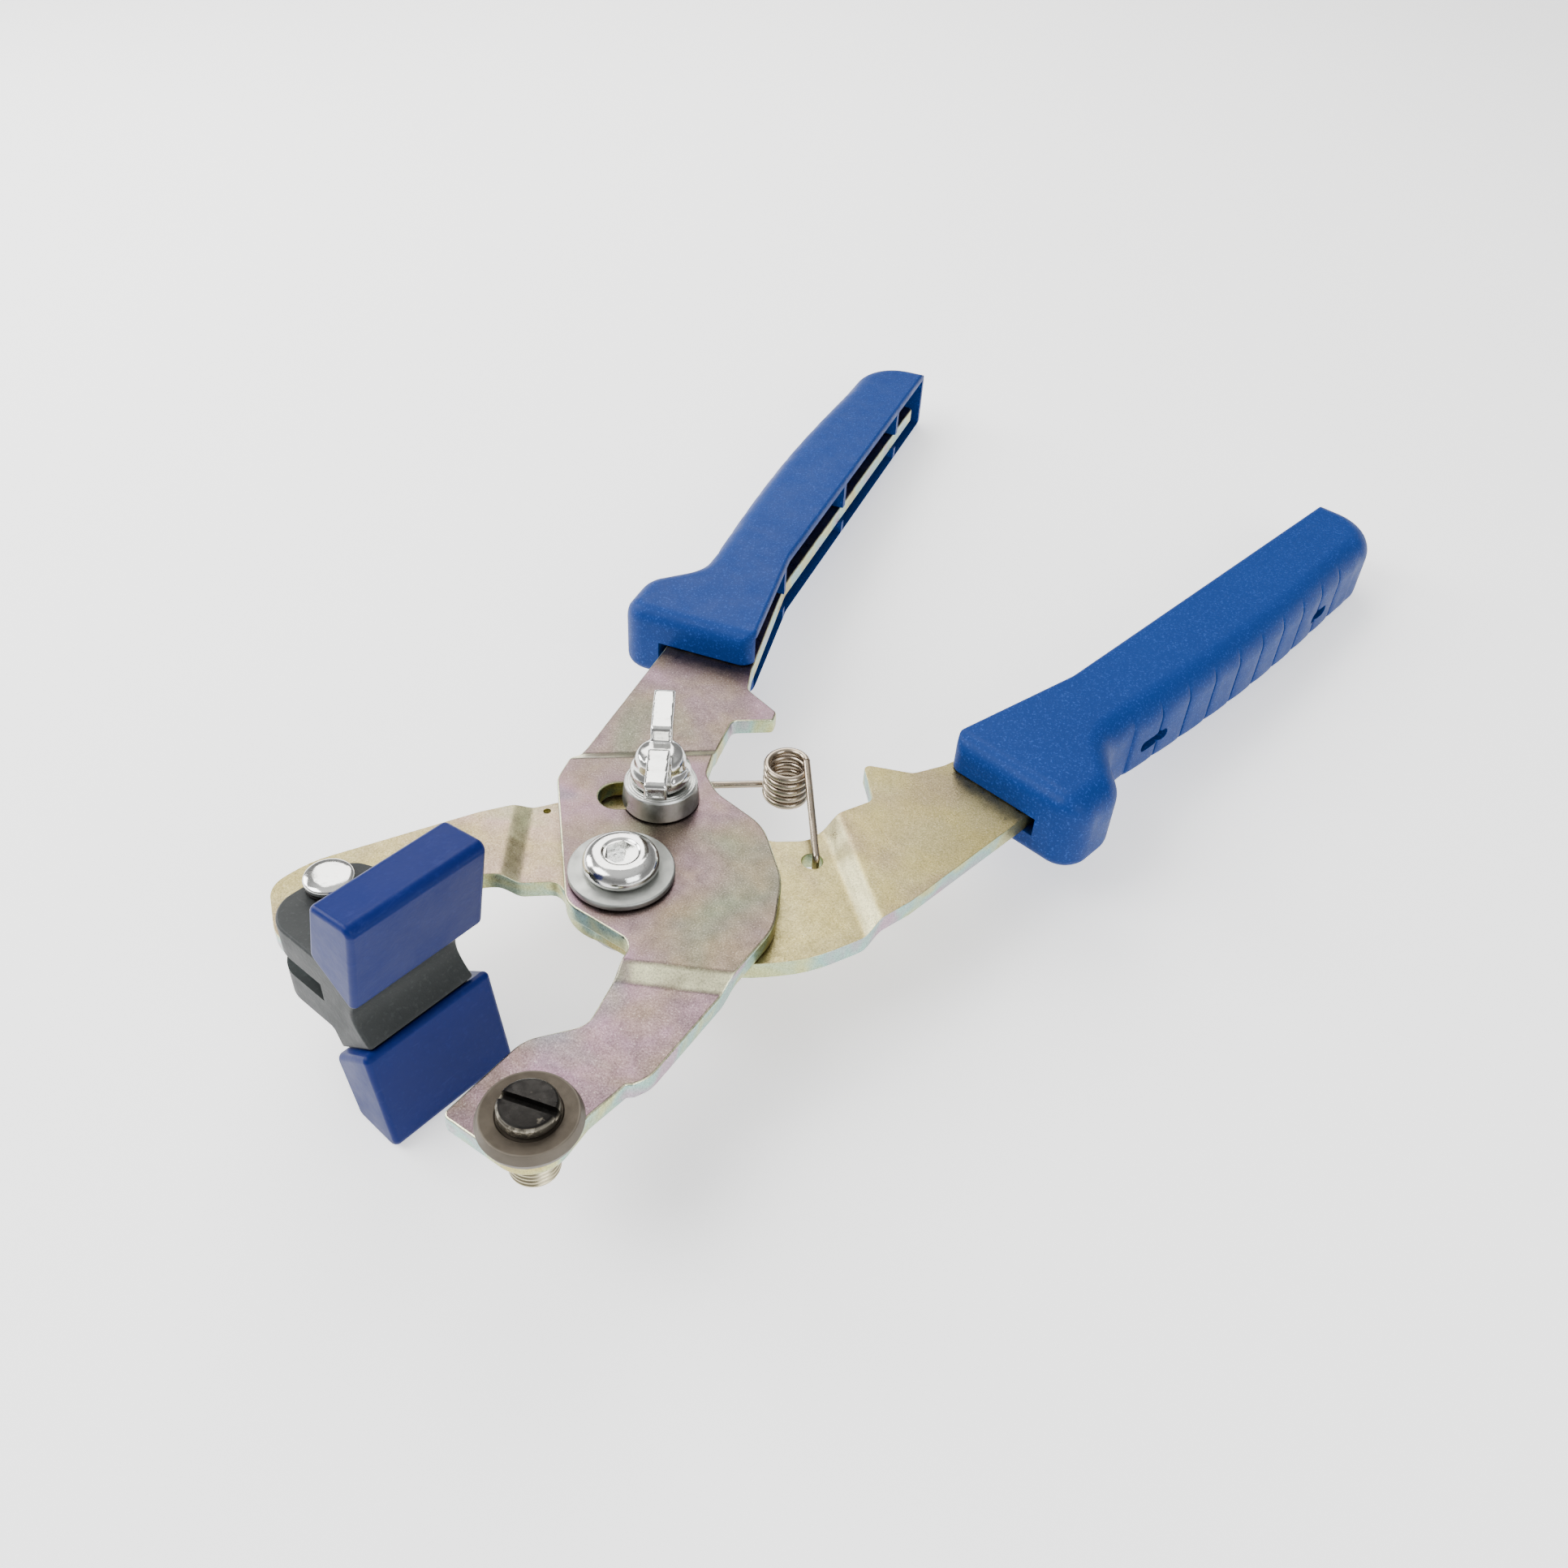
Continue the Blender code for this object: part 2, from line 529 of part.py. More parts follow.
# ---------------------------------------------------------------- scoring wheel
def build_wheel():
    low = MID_TOP + GAP
    high = low + WHEEL_THICK
    face = WHEEL_RADIUS - 0.6
    wheel = turned([(3.3, low), (face, low), (WHEEL_RADIUS, low + WHEEL_THICK / 2), (face, high),
                    (3.3, high)], 48)
    finish_object("scoring_wheel", wheel, CARBIDE, WHEEL_AXIS, smooth=20)
    seat = high + GAP
    profile = [(0, -12.5), (2.2, -12.5), (2.5, -12.2), (2.5, MID_TOP + GAP), (3.0, MID_TOP + GAP),
               (3.0, seat),
               (4.5, seat), (4.6, seat + 0.3), (4.55, seat + 1.4), (4.2, seat + 1.8), (3.6, seat + 1.95),
               (0, seat + 2.0)]
    screw = finish_object("wheel_screw", turned(profile, 36), BLACK_STEEL, TOOL, WHEEL, smooth=35)
    slot = prism([(-8, -0.7), (8, -0.7), (8, 0.7), (-8, 0.7)], seat + 0.8, seat + 5)
    bmesh.ops.rotate(slot, verts=slot.verts, cent=(0, 0, 0), matrix=Matrix.Rotation(math.radians(14), 3, "Z"))
    boolean(screw, cutter("wheel_screw_slot", slot, TOOL, WHEEL))
    top = MID_TOP - SHEET - GAP
    profile = [(2.8, -11.7), (3.6, -11.7), (3.9, -11.4), (3.9, top), (2.8, top)]
    finish_object("wheel_axle_nut", turned(profile, 32), YELLOW_ZINC, TOOL, WHEEL, smooth=35)


# ---------------------------------------------------------------- breaker head, built about its bolt
def along_head(section, half, shift=0.0):
    """Pulls an (across, height) section along the head. Height is from the middle plane."""
    bm = prism(section, shift - half, shift + half)
    stand = Matrix(((1, 0, 0), (0, 0, 1), (0, 1, 0)))
    bmesh.ops.transform(bm, matrix=stand.to_4x4(), verts=bm.verts)
    bmesh.ops.translate(bm, vec=(0, 0, MID), verts=bm.verts)
    return bm


def pad_section(sign):
    corners = [(21.6, 5.3, 1.0), (25.6, 26.0, 1.6), (15.7, 24.5, 1.6), (12.5, 12.0, 1.6)]
    return rounded([(across, sign * height, radius) for across, height, radius in corners], 24.0)


def pad(name, sign):
    """A hard cap that slips over the block's tongue through a pocket in its inner end."""
    body = along_head(pad_section(sign), PAD_HALF_LENGTH, PAD_SHIFT)
    cap = finish_object(name, body, BLUE_PAD, HEAD_AXIS, smooth=35)
    bevel(cap, 1.0, 2, 60)
    pocket = [(14.0, sign * 5.0), (19.9, sign * 3.0), (21.6, sign * 20.3), (17.5, sign * 20.3)]
    boolean(cap, cutter(f"{name}_pocket", along_head(pocket, 8.8), HEAD_AXIS))
    return cap


def build_head():
    back = -3.4
    channel = [(17.6 + 3.4 * (k / 4) ** 2, 5.3 * k / 4) for k in range(-4, 5)]
    upper = [(12.35, 11.8), (10.8, CHEEK_TOP), (back, CHEEK_TOP)]
    lower = [(across, -height) for across, height in reversed(upper)]
    body = along_head(channel + upper + lower, 20.0)
    block = finish_object("breaker_block", body, GREY_BLOCK, HEAD_AXIS, smooth=35)
    plan = rounded([(back - 0.1, BLOCK_NEAR, 6), (30, BLOCK_NEAR, 0), (30, BLOCK_FAR, 0), (6.5, BLOCK_FAR, 5),
                    (back - 0.1, BLOCK_FAR - 4.0, 5)])
    boolean(block, cutter("breaker_block_plan", prism(plan, -60, 60), HEAD_AXIS), "INTERSECT")
    for sign, name in ((1, "upper"), (-1, "lower")):
        tongue = [(19.8, sign * 5.0), (21.3, sign * 20.0), (17.8, sign * 20.0), (14.6, sign * 7.5)]
        boolean(block, cutter(f"breaker_block_{name}_tongue", along_head(tongue, 8.5), HEAD_AXIS), "UNION")
    slot = prism([(-9, -20), (10.3, -20), (10.3, 20), (-9, 20)], MID - SHEET / 2 - GAP, MID + SHEET / 2 + GAP)
    boolean(block, cutter("breaker_block_slot", slot, HEAD_AXIS))
    boolean(block, cutter("breaker_block_bore", prism(circle(0, 0, 2.8), -60, 60), HEAD_AXIS))
    pad("upper_pad", 1)
    pad("lower_pad", -1)
    build_head_bolt()


def build_head_bolt():
    """The swivel bolt and nut clamp on the head's own washers; both stay with the lever."""
    top = MID + CHEEK_TOP + GAP
    low = MID - CHEEK_TOP - GAP - 0.9
    ring_washer("head_upper_washer", top, 2.8, 3.9, 0.7, BLACK_STEEL, BREAKER_AXIS, BOLT)
    ring_washer("head_lower_washer", low, 2.8, 4.6, 0.9, BRIGHT_ZINC, BREAKER_AXIS, BOLT)
    seat = top + 0.7 + GAP
    under = low - GAP
    profile = [(0, under - 4.6), (2.2, under - 4.6), (2.5, under - 4.3), (2.5, seat), (3.8, seat),
               (4.0, seat + 0.25), (4.0, seat + 0.9), (3.6, seat + 1.35), (2.4, seat + 1.6), (0, seat + 1.7)]
    finish_object("head_bolt", turned(profile, 32), CHROME, BREAKER_AXIS, BOLT, smooth=35)
    nut = finish_object("head_nut", prism(hexagon(8.0), under - 4.0, under), BRIGHT_ZINC, BREAKER_AXIS, BOLT)
    bevel(nut, 0.3, 1, 50)
    bore = cutter("head_nut_bore", prism(circle(0, 0, 2.8), under - 9, under + 3), BREAKER_AXIS, BOLT)
    boolean(nut, bore)


# ---------------------------------------------------------------- torsion spring
def spring_route():
    """From the hook in the upper lever, along the low leg, up the coil, and down the high leg to its hook."""
    def tangent_angle(hole, sign):
        offset = Vector(hole) - Vector(COIL)
        return math.atan2(offset.y, offset.x) + sign * math.acos(COIL_RADIUS / offset.length)

    first = tangent_angle(LEG_HOLE, -1)
    last = tangent_angle(HOOK, 1)
    sweep = (first - last) % (2 * math.pi) + 2 * math.pi * COIL_TURNS
    steps = 17 * (COIL_TURNS + 1)
    coil_top = COIL_BOTTOM + COIL_PITCH * sweep / (2 * math.pi)
    route = [(*LEG_HOLE, 0.1), (*LEG_HOLE, COIL_BOTTOM + 1.4),
             (LEG_HOLE[0] + 0.35, LEG_HOLE[1] + 0.3, COIL_BOTTOM + 0.3),
             (LEG_HOLE[0] + 1.2, LEG_HOLE[1] + 1.0, COIL_BOTTOM)]
    for k in range(steps + 1):
        angle = first - sweep * k / steps
        height = COIL_BOTTOM + (coil_top - COIL_BOTTOM) * k / steps
        across = COIL[0] + COIL_RADIUS * math.cos(angle)
        along = COIL[1] + COIL_RADIUS * math.sin(angle)
        route.append((across, along, height))
    hook_top = LOWER_TOP + 0.9
    route += [(HOOK[0] - 0.5, HOOK[1] + 0.7, hook_top + 0.2), (*HOOK, hook_top - 0.6),
              (*HOOK, LOWER_TOP - SHEET + 0.4)]
    return route


def build_spring():
    route = spring_route()
    curve = bpy.data.curves.new("torsion_spring", "CURVE")
    curve.dimensions = "3D"
    curve.bevel_depth = WIRE / 2 * MM
    curve.bevel_resolution = 2
    curve.use_fill_caps = True
    spline = curve.splines.new("POLY")
    spline.points.add(len(route) - 1)
    for point, place in zip(spline.points, route):
        point.co = (*[value * MM for value in place], 1.0)
    curve.materials.append(SPRING_STEEL)
    spring = bpy.data.objects.new("torsion_spring", curve)
    bpy.context.scene.collection.objects.link(spring)
    spring.parent = TOOL


build_levers()
grip("wheel_lever_grip", -1, TOOL)
grip("breaker_lever_grip", 1, BREAKER_AXIS)
build_pivot()
build_lock()
build_wheel()
build_head()
build_spring()
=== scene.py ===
"""Looks of the tile nippers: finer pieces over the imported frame, materials, floor, lights and camera."""
import math

import bmesh
import bpy
from mathutils import Matrix, Vector


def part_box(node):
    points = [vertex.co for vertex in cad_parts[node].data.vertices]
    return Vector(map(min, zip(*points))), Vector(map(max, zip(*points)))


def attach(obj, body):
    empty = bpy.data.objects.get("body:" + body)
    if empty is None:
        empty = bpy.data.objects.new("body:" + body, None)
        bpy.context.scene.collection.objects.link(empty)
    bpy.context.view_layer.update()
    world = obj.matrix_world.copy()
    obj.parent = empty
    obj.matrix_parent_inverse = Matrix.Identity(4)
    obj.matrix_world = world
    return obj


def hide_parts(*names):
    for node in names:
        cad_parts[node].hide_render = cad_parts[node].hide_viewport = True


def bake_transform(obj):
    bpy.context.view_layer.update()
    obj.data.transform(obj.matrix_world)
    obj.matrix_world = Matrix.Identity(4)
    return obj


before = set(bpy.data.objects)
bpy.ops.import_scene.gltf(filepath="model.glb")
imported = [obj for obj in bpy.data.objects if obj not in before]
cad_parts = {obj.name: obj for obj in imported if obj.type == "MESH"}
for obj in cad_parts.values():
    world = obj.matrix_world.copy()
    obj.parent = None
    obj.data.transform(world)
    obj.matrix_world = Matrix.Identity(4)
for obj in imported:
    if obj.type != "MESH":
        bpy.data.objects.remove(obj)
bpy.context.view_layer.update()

MM = 0.001

# ---------------------------------------------------------------- dimensions in mm, as in the CAD part
PIVOT = Vector((-7.4, -71.17, 29.21))
GAP = 0.3
SHEET = 3.4
LOWER_TOP = -(SHEET + GAP)
MID_TOP = LOWER_TOP / 2
MID = MID_TOP - SHEET / 2
JOGGLE_RUN = 3.0
BEND_EASE = 0.7                 # each bend starts this much earlier and ends this much later, rounded
EDGE_ROUND = 0.5
GRIP_TILT = math.radians(11.7)
MIRROR_X = 7.4
MIRROR_SHIFT = 3.3
GRIP_FRONT = 64.5
GRIP_END = 201.9
GRIP_IN = 22.2
GRIP_OUT = 39.4
GUARD_OUT = 47.6
GRIP_TOP = 5.9
GRIP_BOTTOM = -10.2
GRIP_WALL = 1.8
OUTER_ROUND = 5.2
FRONT_ROUND = 3.4
INNER_ROUND = 0.8
LOWER_ROUND = 2.4
RIB_PLACES = (93.4, 134.4, 176.2)
RIB_THICK = 1.6
WINDOWS = ((98.9, 8.6), (166.6, 6.8))
RIDGE_START = 95.7
RIDGE_PITCH = 9.2
RIDGE_COUNT = 10
RIDGE_RISE = 0.6
RIDGE_SHAPE = ((0.0, -0.7), (0.035, 0.5), (0.1, 0.8), (0.25, 0.95), (0.5, 1.0), (0.75, 0.95), (0.9, 0.8),
               (0.965, 0.5))      # share of the pitch and height of each ridge; the first point is the groove
WING_HEADING = math.radians(122.8)
WING_THICK = 3.8
TANG_END = 193.5
TANG_IN = 22.8
TANG_OUT = 35.6
SLOT_RADIUS = 19.8
SLOT_HALF = 3.5
LOCK_ANGLE = math.radians(107.2)
CLOSE_ANGLE = math.radians(22.0)
LOCK = (SLOT_RADIUS * math.cos(LOCK_ANGLE), SLOT_RADIUS * math.sin(LOCK_ANGLE))
WHEEL = (19.4, -45.9)
WHEEL_RADIUS = 7.8
WHEEL_THICK = 3.0
BOLT = (-32.5, -32.7)
HEAD_TURN = math.radians(-6.95)
PAD_HALF_LENGTH = 12.4
PAD_SHIFT = -0.1
BLOCK_NEAR = -10.8
BLOCK_FAR = 9.7
CHEEK_TOP = 8.2
COIL = (8.6, 37.8)
COIL_RADIUS = 3.6
WIRE = 1.35
COIL_TURNS = 5
COIL_PITCH = 1.58
COIL_BOTTOM = -5.4
LEG_HOLE = (-8.9, 28.6)
HOOK_HOLE = (22.7, 24.6)
HOOK = (23.3, 24.8)


# ---------------------------------------------------------------- material nodes
def shader_material(name, roughness, metallic, **extra):
    mat = bpy.data.materials.new(name)
    mat.use_nodes = True
    shader = mat.node_tree.nodes["Principled BSDF"]
    shader.inputs["Roughness"].default_value = roughness
    shader.inputs["Metallic"].default_value = metallic
    for key, value in extra.items():
        shader.inputs[key.replace("_", " ")].default_value = value
    return mat, mat.node_tree, shader


def put(tree, kind, values=None, **settings):
    """Adds a node; values fills its inputs by name or number with constants or sockets."""
    made = tree.nodes.new(kind)
    for key, value in settings.items():
        setattr(made, key, value)
    for key, value in (values or {}).items():
        socket = made.inputs[key]
        if isinstance(value, bpy.types.NodeSocket):
            tree.links.new(value, socket)
        else:
            socket.default_value = value
    return made


def grain(tree, scale, detail=3.0, rough=0.55, distortion=0.0, stretch=None):
    where = put(tree, "ShaderNodeTexCoord").outputs["Object"]
    if stretch:
        where = put(tree, "ShaderNodeMapping", {"Vector": where, "Scale": stretch}).outputs[0]
    made = put(tree, "ShaderNodeTexNoise", {
        "Vector": where, "Scale": scale, "Detail": detail, "Roughness": rough, "Distortion": distortion})
    return made.outputs["Fac"]


def ramp(tree, factor, stops):
    made = put(tree, "ShaderNodeValToRGB", {"Fac": factor})
    band = made.color_ramp
    while len(band.elements) < len(stops):
        band.elements.new(0.5)
    for element, (place, colour) in zip(band.elements, stops):
        element.position = place
        element.color = (*colour, 1.0) if isinstance(colour, tuple) else (colour, colour, colour, 1.0)
    return made.outputs["Color"]


def mix(tree, factor, first, second, blend="MIX"):
    made = put(tree, "ShaderNodeMix", data_type="RGBA", blend_type=blend)
    for socket, value in ((made.inputs[0], factor), (made.inputs[6], first), (made.inputs[7], second)):
        if isinstance(value, bpy.types.NodeSocket):
            tree.links.new(value, socket)
        elif isinstance(value, tuple):
            socket.default_value = (*value, 1.0)
        else:
            socket.default_value = value
    return made.outputs[2]


def calc(tree, operation, first, second=0.0, third=0.0):
    return put(tree, "ShaderNodeMath", {0: first, 1: second, 2: third}, operation=operation).outputs[0]


def bump(tree, shader, height, distance, strength=1.0, before=None):
    values = {"Height": height, "Distance": distance, "Strength": strength}
    if before is not None:
        values["Normal"] = before
    made = put(tree, "ShaderNodeBump", values)
    tree.links.new(made.outputs[0], shader.inputs["Normal"])
    return made.outputs[0]


def from_axis(tree):
    """Distance from the piece's own axis, in metres, for lathe marks."""
    apart = put(tree, "ShaderNodeSeparateXYZ", {0: put(tree, "ShaderNodeTexCoord").outputs["Object"]})
    x2 = calc(tree, "MULTIPLY", apart.outputs[0], apart.outputs[0])
    y2 = calc(tree, "MULTIPLY", apart.outputs[1], apart.outputs[1])
    return calc(tree, "SQRT", calc(tree, "ADD", x2, y2))


def upright(tree):
    """1 on level faces, 0 on the side walls."""
    parts = put(tree, "ShaderNodeSeparateXYZ", {0: put(tree, "ShaderNodeNewGeometry").outputs["Normal"]})
    return calc(tree, "ABSOLUTE", parts.outputs[2])


def link(tree, socket, shader, name):
    tree.links.new(socket, shader.inputs[name])


def zinc_plate(name, clouds_of, streak, bend):
    """Iridescent passivated zinc: coloured clouds on the faces, bends painted paler as a painted highlight,
    side walls and edges paler with an iridescent tint and a painted glint, finely pitted.
    """
    mat, tree, shader = shader_material(name, 0.36, 1.0)
    clouds = grain(tree, 24.0, 3.0, 0.5, 0.8)
    face = ramp(tree, clouds, list(zip((0.30, 0.42, 0.50, 0.58, 0.70), clouds_of)))
    streaks = grain(tree, 120.0, 2.0, 0.5, 0.3)
    face = mix(tree, ramp(tree, streaks, [(0.42, 0.0), (0.70, 0.5)]), face, streak)
    wall_clouds = grain(tree, 90.0, 2.0, 0.5, 0.6)
    # side walls and rounded edges: an iridescent tint of the plating together with a painted glint, much
    # paler than the faces
    wall = ramp(tree, wall_clouds, [
        (0.32, (0.52, 0.44, 0.16)), (0.45, (0.56, 0.60, 0.30)), (0.56, (0.34, 0.56, 0.50)),
        (0.68, (0.50, 0.36, 0.44))])
    flatness = upright(tree)
    # painted highlight: faces tilted a little from level, that is the joggle bends and the tops of the
    # rounded edges, take the pale bend colour
    slope = mix(tree, ramp(tree, wall_clouds, [(0.40, 0.25), (0.60, 1.0)]), face, bend)
    colour = mix(tree, ramp(tree, flatness, [(0.90, 0.0), (0.985, 1.0)]), slope, face)
    colour = mix(tree, ramp(tree, flatness, [(0.45, 0.0), (0.80, 1.0)]), wall, colour)
    pits = grain(tree, 3400.0, 3.0, 0.8)
    colour = mix(tree, 0.8, colour, ramp(tree, pits, [(0.36, 0.45), (0.52, 0.85), (0.60, 1.0)]), "MULTIPLY")
    colour = mix(tree, ramp(tree, pits, [(0.60, 0.0), (0.70, 0.45)]), colour, (0.50, 0.48, 0.42))
    link(tree, colour, shader, "Base Color")
    haze = grain(tree, 420.0, 3.0, 0.6)
    link(tree, ramp(tree, haze, [(0.3, 0.26), (0.7, 0.42)]), shader, "Roughness")
    first = bump(tree, shader, pits, 0.00005, 0.6)
    bump(tree, shader, grain(tree, 520.0, 2.0, 0.5), 0.0001, 0.2, first)
    return mat


def lathed(name, tint, dark, roughness, pitch, depth, metallic=1.0, mottling=0.25):
    """Turned metal with faint concentric tool marks and a mottled plating."""
    mat, tree, shader = shader_material(name, roughness, metallic)
    radius = from_axis(tree)
    wobble = calc(tree, "MULTIPLY", grain(tree, 300.0, 2.0), 0.0002)
    marks = calc(tree, "SINE", calc(tree, "MULTIPLY", calc(tree, "ADD", radius, wobble), 2 * math.pi / pitch))
    spots = grain(tree, 900.0, 3.0, 0.65)
    colour = mix(tree, ramp(tree, spots, [(0.35, mottling), (0.6, 0.0)]), tint, dark)
    link(tree, colour, shader, "Base Color")
    rough = grain(tree, 260.0, 3.0)
    link(tree, ramp(tree, rough, [(0.3, roughness * 0.75), (0.7, roughness * 1.3)]), shader, "Roughness")
    first = bump(tree, shader, marks, depth, 0.5)
    bump(tree, shader, spots, 0.00003, 0.35, first)
    return mat


def polished(name, tint, roughness):
    """Bright plating on a cast or forged surface: soft dents and small pits."""
    mat, tree, shader = shader_material(name, roughness, 1.0)
    spots = grain(tree, 1300.0, 3.0, 0.6)
    colour = mix(tree, ramp(tree, spots, [(0.30, 0.5), (0.42, 0.0)]), tint, (0.34, 0.33, 0.30))
    link(tree, colour, shader, "Base Color")
    rough = ramp(tree, grain(tree, 350.0), [(0.35, roughness * 0.7), (0.7, roughness * 1.7)])
    link(tree, rough, shader, "Roughness")
    first = bump(tree, shader, grain(tree, 330.0, 2.0, 0.5), 0.00012, 0.35)
    bump(tree, shader, spots, 0.00003, 0.3, first)
    return mat


def worn_black(name):
    """Blackened steel, rubbed bright in patches and along its outer rim."""
    mat, tree, shader = shader_material(name, 0.38, 0.85)
    radius = from_axis(tree)
    rim = ramp(tree, calc(tree, "MULTIPLY", radius, 100.0), [(0.415, 0.0), (0.45, 1.0)])
    rubbed = ramp(tree, grain(tree, 600.0, 4.0, 0.65), [(0.47, 0.0), (0.62, 1.0)])
    wear = calc(tree, "MULTIPLY", rim, calc(tree, "MAXIMUM", rubbed, 0.25))
    patches = ramp(tree, grain(tree, 260.0, 4.0, 0.7), [(0.58, 0.0), (0.72, 0.35)])
    wear = calc(tree, "MAXIMUM", wear, patches)
    link(tree, mix(tree, wear, (0.010, 0.009, 0.008), (0.40, 0.36, 0.28)), shader, "Base Color")
    link(tree, ramp(tree, grain(tree, 800.0), [(0.3, 0.25), (0.7, 0.5)]), shader, "Roughness")
    bump(tree, shader, grain(tree, 900.0, 4.0, 0.65), 0.00008, 0.5)
    return mat


def carbide():
    """Ground carbide disc: bronze grey faces with faint rings and a lighter rim."""
    mat, tree, shader = shader_material("carbide", 0.50, 0.75)
    radius = from_axis(tree)
    rim = ramp(tree, calc(tree, "MULTIPLY", radius, 100.0), [(0.685, 0.0), (0.715, 1.0)])
    clouds = grain(tree, 190.0, 3.0, 0.6)
    face = ramp(tree, clouds, [(0.3, (0.040, 0.032, 0.022)), (0.7, (0.066, 0.054, 0.040))])
    link(tree, mix(tree, calc(tree, "MULTIPLY", rim, 0.6), face, (0.15, 0.13, 0.105)), shader, "Base Color")
    marks = calc(tree, "SINE", calc(tree, "MULTIPLY", radius, 2 * math.pi / 0.00035))
    first = bump(tree, shader, marks, 0.000004, 0.3)
    bump(tree, shader, grain(tree, 1500.0, 3.0), 0.00003, 0.4, first)
    link(tree, ramp(tree, grain(tree, 500.0), [(0.3, 0.44), (0.7, 0.58)]), shader, "Roughness")
    return mat


def plastic(name, dark, light, roughness, fleck, depth, scale, scuffs=0.0, gloss=0.12):
    """Moulded plastic: slight colour drift, fine eroded grain and, where asked, rubbed scuffs."""
    mat, tree, shader = shader_material(name, roughness, 0.0, Specular_IOR_Level=gloss)
    colour = ramp(tree, grain(tree, 22.0, 3.0), [(0.3, dark), (0.7, light)])
    cells = grain(tree, scale, 2.0, 0.6)
    flecks = tuple(v * 1.9 + 0.016 for v in light)
    colour = mix(tree, ramp(tree, cells, [(0.57, 0.0), (0.68, fleck)]), colour, flecks)
    if scuffs:
        lines = grain(tree, 240.0, 5.0, 0.75, 1.5, (1.0, 0.35, 1.0))
        rubbed = tuple(v * 1.4 + 0.02 for v in light)
        colour = mix(tree, ramp(tree, lines, [(0.60, 0.0), (0.70, scuffs)]), colour, rubbed)
    link(tree, colour, shader, "Base Color")
    rough = ramp(tree, grain(tree, 160.0, 4.0, 0.6), [(0.3, roughness * 0.85), (0.7, roughness * 1.2)])
    link(tree, rough, shader, "Roughness")
    first = bump(tree, shader, cells, depth, 0.6)
    bump(tree, shader, grain(tree, 60.0, 2.0), 0.0004, 0.06, first)
    return mat


LOOKS = {
    "yellow_zinc_plate": zinc_plate(
        # the last colour is a painted highlight on the joggle bends
        "mauve_zinc", ((0.125, 0.148, 0.095), (0.160, 0.124, 0.105), (0.165, 0.114, 0.122),
                       (0.22, 0.138, 0.175), (0.112, 0.158, 0.152)), (0.21, 0.16, 0.090), (0.94, 0.92, 0.58)),
    "bright_zinc": lathed("bright_zinc", (0.47, 0.48, 0.46), (0.22, 0.215, 0.19), 0.33, 0.0006, 0.00001),
    "polished_steel": polished("polished_steel", (0.66, 0.66, 0.64), 0.12),
    "blackened_steel": worn_black("blackened_steel"),
    "wheel_carbide": carbide(),
    "spring_steel": polished("spring_steel", (0.34, 0.28, 0.215), 0.20),
    "blue_grip_plastic": plastic(
        "blue_grip_plastic", (0.0016, 0.0240, 0.138), (0.0026, 0.0300, 0.163), roughness=0.46, fleck=0.75,
        depth=0.00010, scale=2600.0, gloss=0.12),
    "royal_blue_pad": plastic(
        "royal_blue_pad", (0.0006, 0.0072, 0.080), (0.0012, 0.0105, 0.105), roughness=0.38, fleck=0.08,
        depth=0.00003, scale=1100.0, scuffs=0.30, gloss=0.12),
    "dark_grey_plastic": plastic(
        "dark_grey_plastic", (0.015, 0.0175, 0.018), (0.024, 0.027, 0.027), roughness=0.50, fleck=0.25,
        depth=0.00008, scale=1300.0, scuffs=0.12, gloss=0.25)}
STRAW_ZINC = zinc_plate(
    # the last colour is a painted highlight on the joggle bends
    "straw_zinc", ((0.33, 0.28, 0.120), (0.36, 0.31, 0.150), (0.30, 0.235, 0.140), (0.33, 0.235, 0.190),
                   (0.25, 0.290, 0.160)), (0.40, 0.33, 0.110), (0.95, 0.89, 0.52))
MATTE_ZINC = lathed("matte_zinc", (0.36, 0.37, 0.35), (0.26, 0.265, 0.245), 0.46, 0.0011, 0.000004)
TURNED_YELLOW = lathed("turned_yellow_zinc", (0.46, 0.41, 0.26), (0.30, 0.23, 0.20), 0.30, 0.0005, 0.00002)
THREAD = lathed("thread_zinc", (0.38, 0.37, 0.33), (0.18, 0.17, 0.14), 0.33, 0.0007, 0.00001)


# ---------------------------------------------------------------- shape helpers, in mm about the pivot
def rounded(points, step=6.0):
    """A closed outline from corners (x, y, radius): each corner becomes an arc."""
    out = []
    count = len(points)
    for i, (x, y, radius) in enumerate(points):
        corner = Vector((x, y))
        back = (Vector(points[i - 1][:2]) - corner).normalized()
        ahead = (Vector(points[(i + 1) % count][:2]) - corner).normalized()
        half = back.angle(ahead) / 2
        if radius <= 0 or half > math.radians(89):
            out.append((x, y))
            continue
        reach = radius / math.tan(half)
        centre = corner + (back + ahead).normalized() * (radius / math.sin(half))
        start = corner + back * reach - centre
        end = corner + ahead * reach - centre
        turn = start.angle_signed(end)
        pieces = max(2, math.ceil(abs(math.degrees(turn)) / step - 0.01))
        for k in range(pieces + 1):
            out.append(tuple(centre + Matrix.Rotation(-turn * k / pieces, 2) @ start))
    return out


def circle(x, y, radius, sides=64):
    angles = [2 * math.pi * k / sides for k in range(sides)]
    return [(x + radius * math.cos(a), y + radius * math.sin(a)) for a in angles]


def hexagon(flats):
    return circle(0, 0, flats / math.sqrt(3), 6)


def arc_points(radius, start, end, pieces, centre=(0.0, 0.0)):
    angles = [start + (end - start) * k / pieces for k in range(pieces + 1)]
    return [(centre[0] + radius * math.cos(a), centre[1] + radius * math.sin(a)) for a in angles]


def prism(outline, low, high, bm=None):
    bm = bm or bmesh.new()
    face = bm.faces.new([bm.verts.new((x, y, low)) for x, y in outline])
    top = bmesh.ops.extrude_face_region(bm, geom=[face])
    raised = [item for item in top["geom"] if isinstance(item, bmesh.types.BMVert)]
    bmesh.ops.translate(bm, vec=(0, 0, high - low), verts=raised)
    return bm


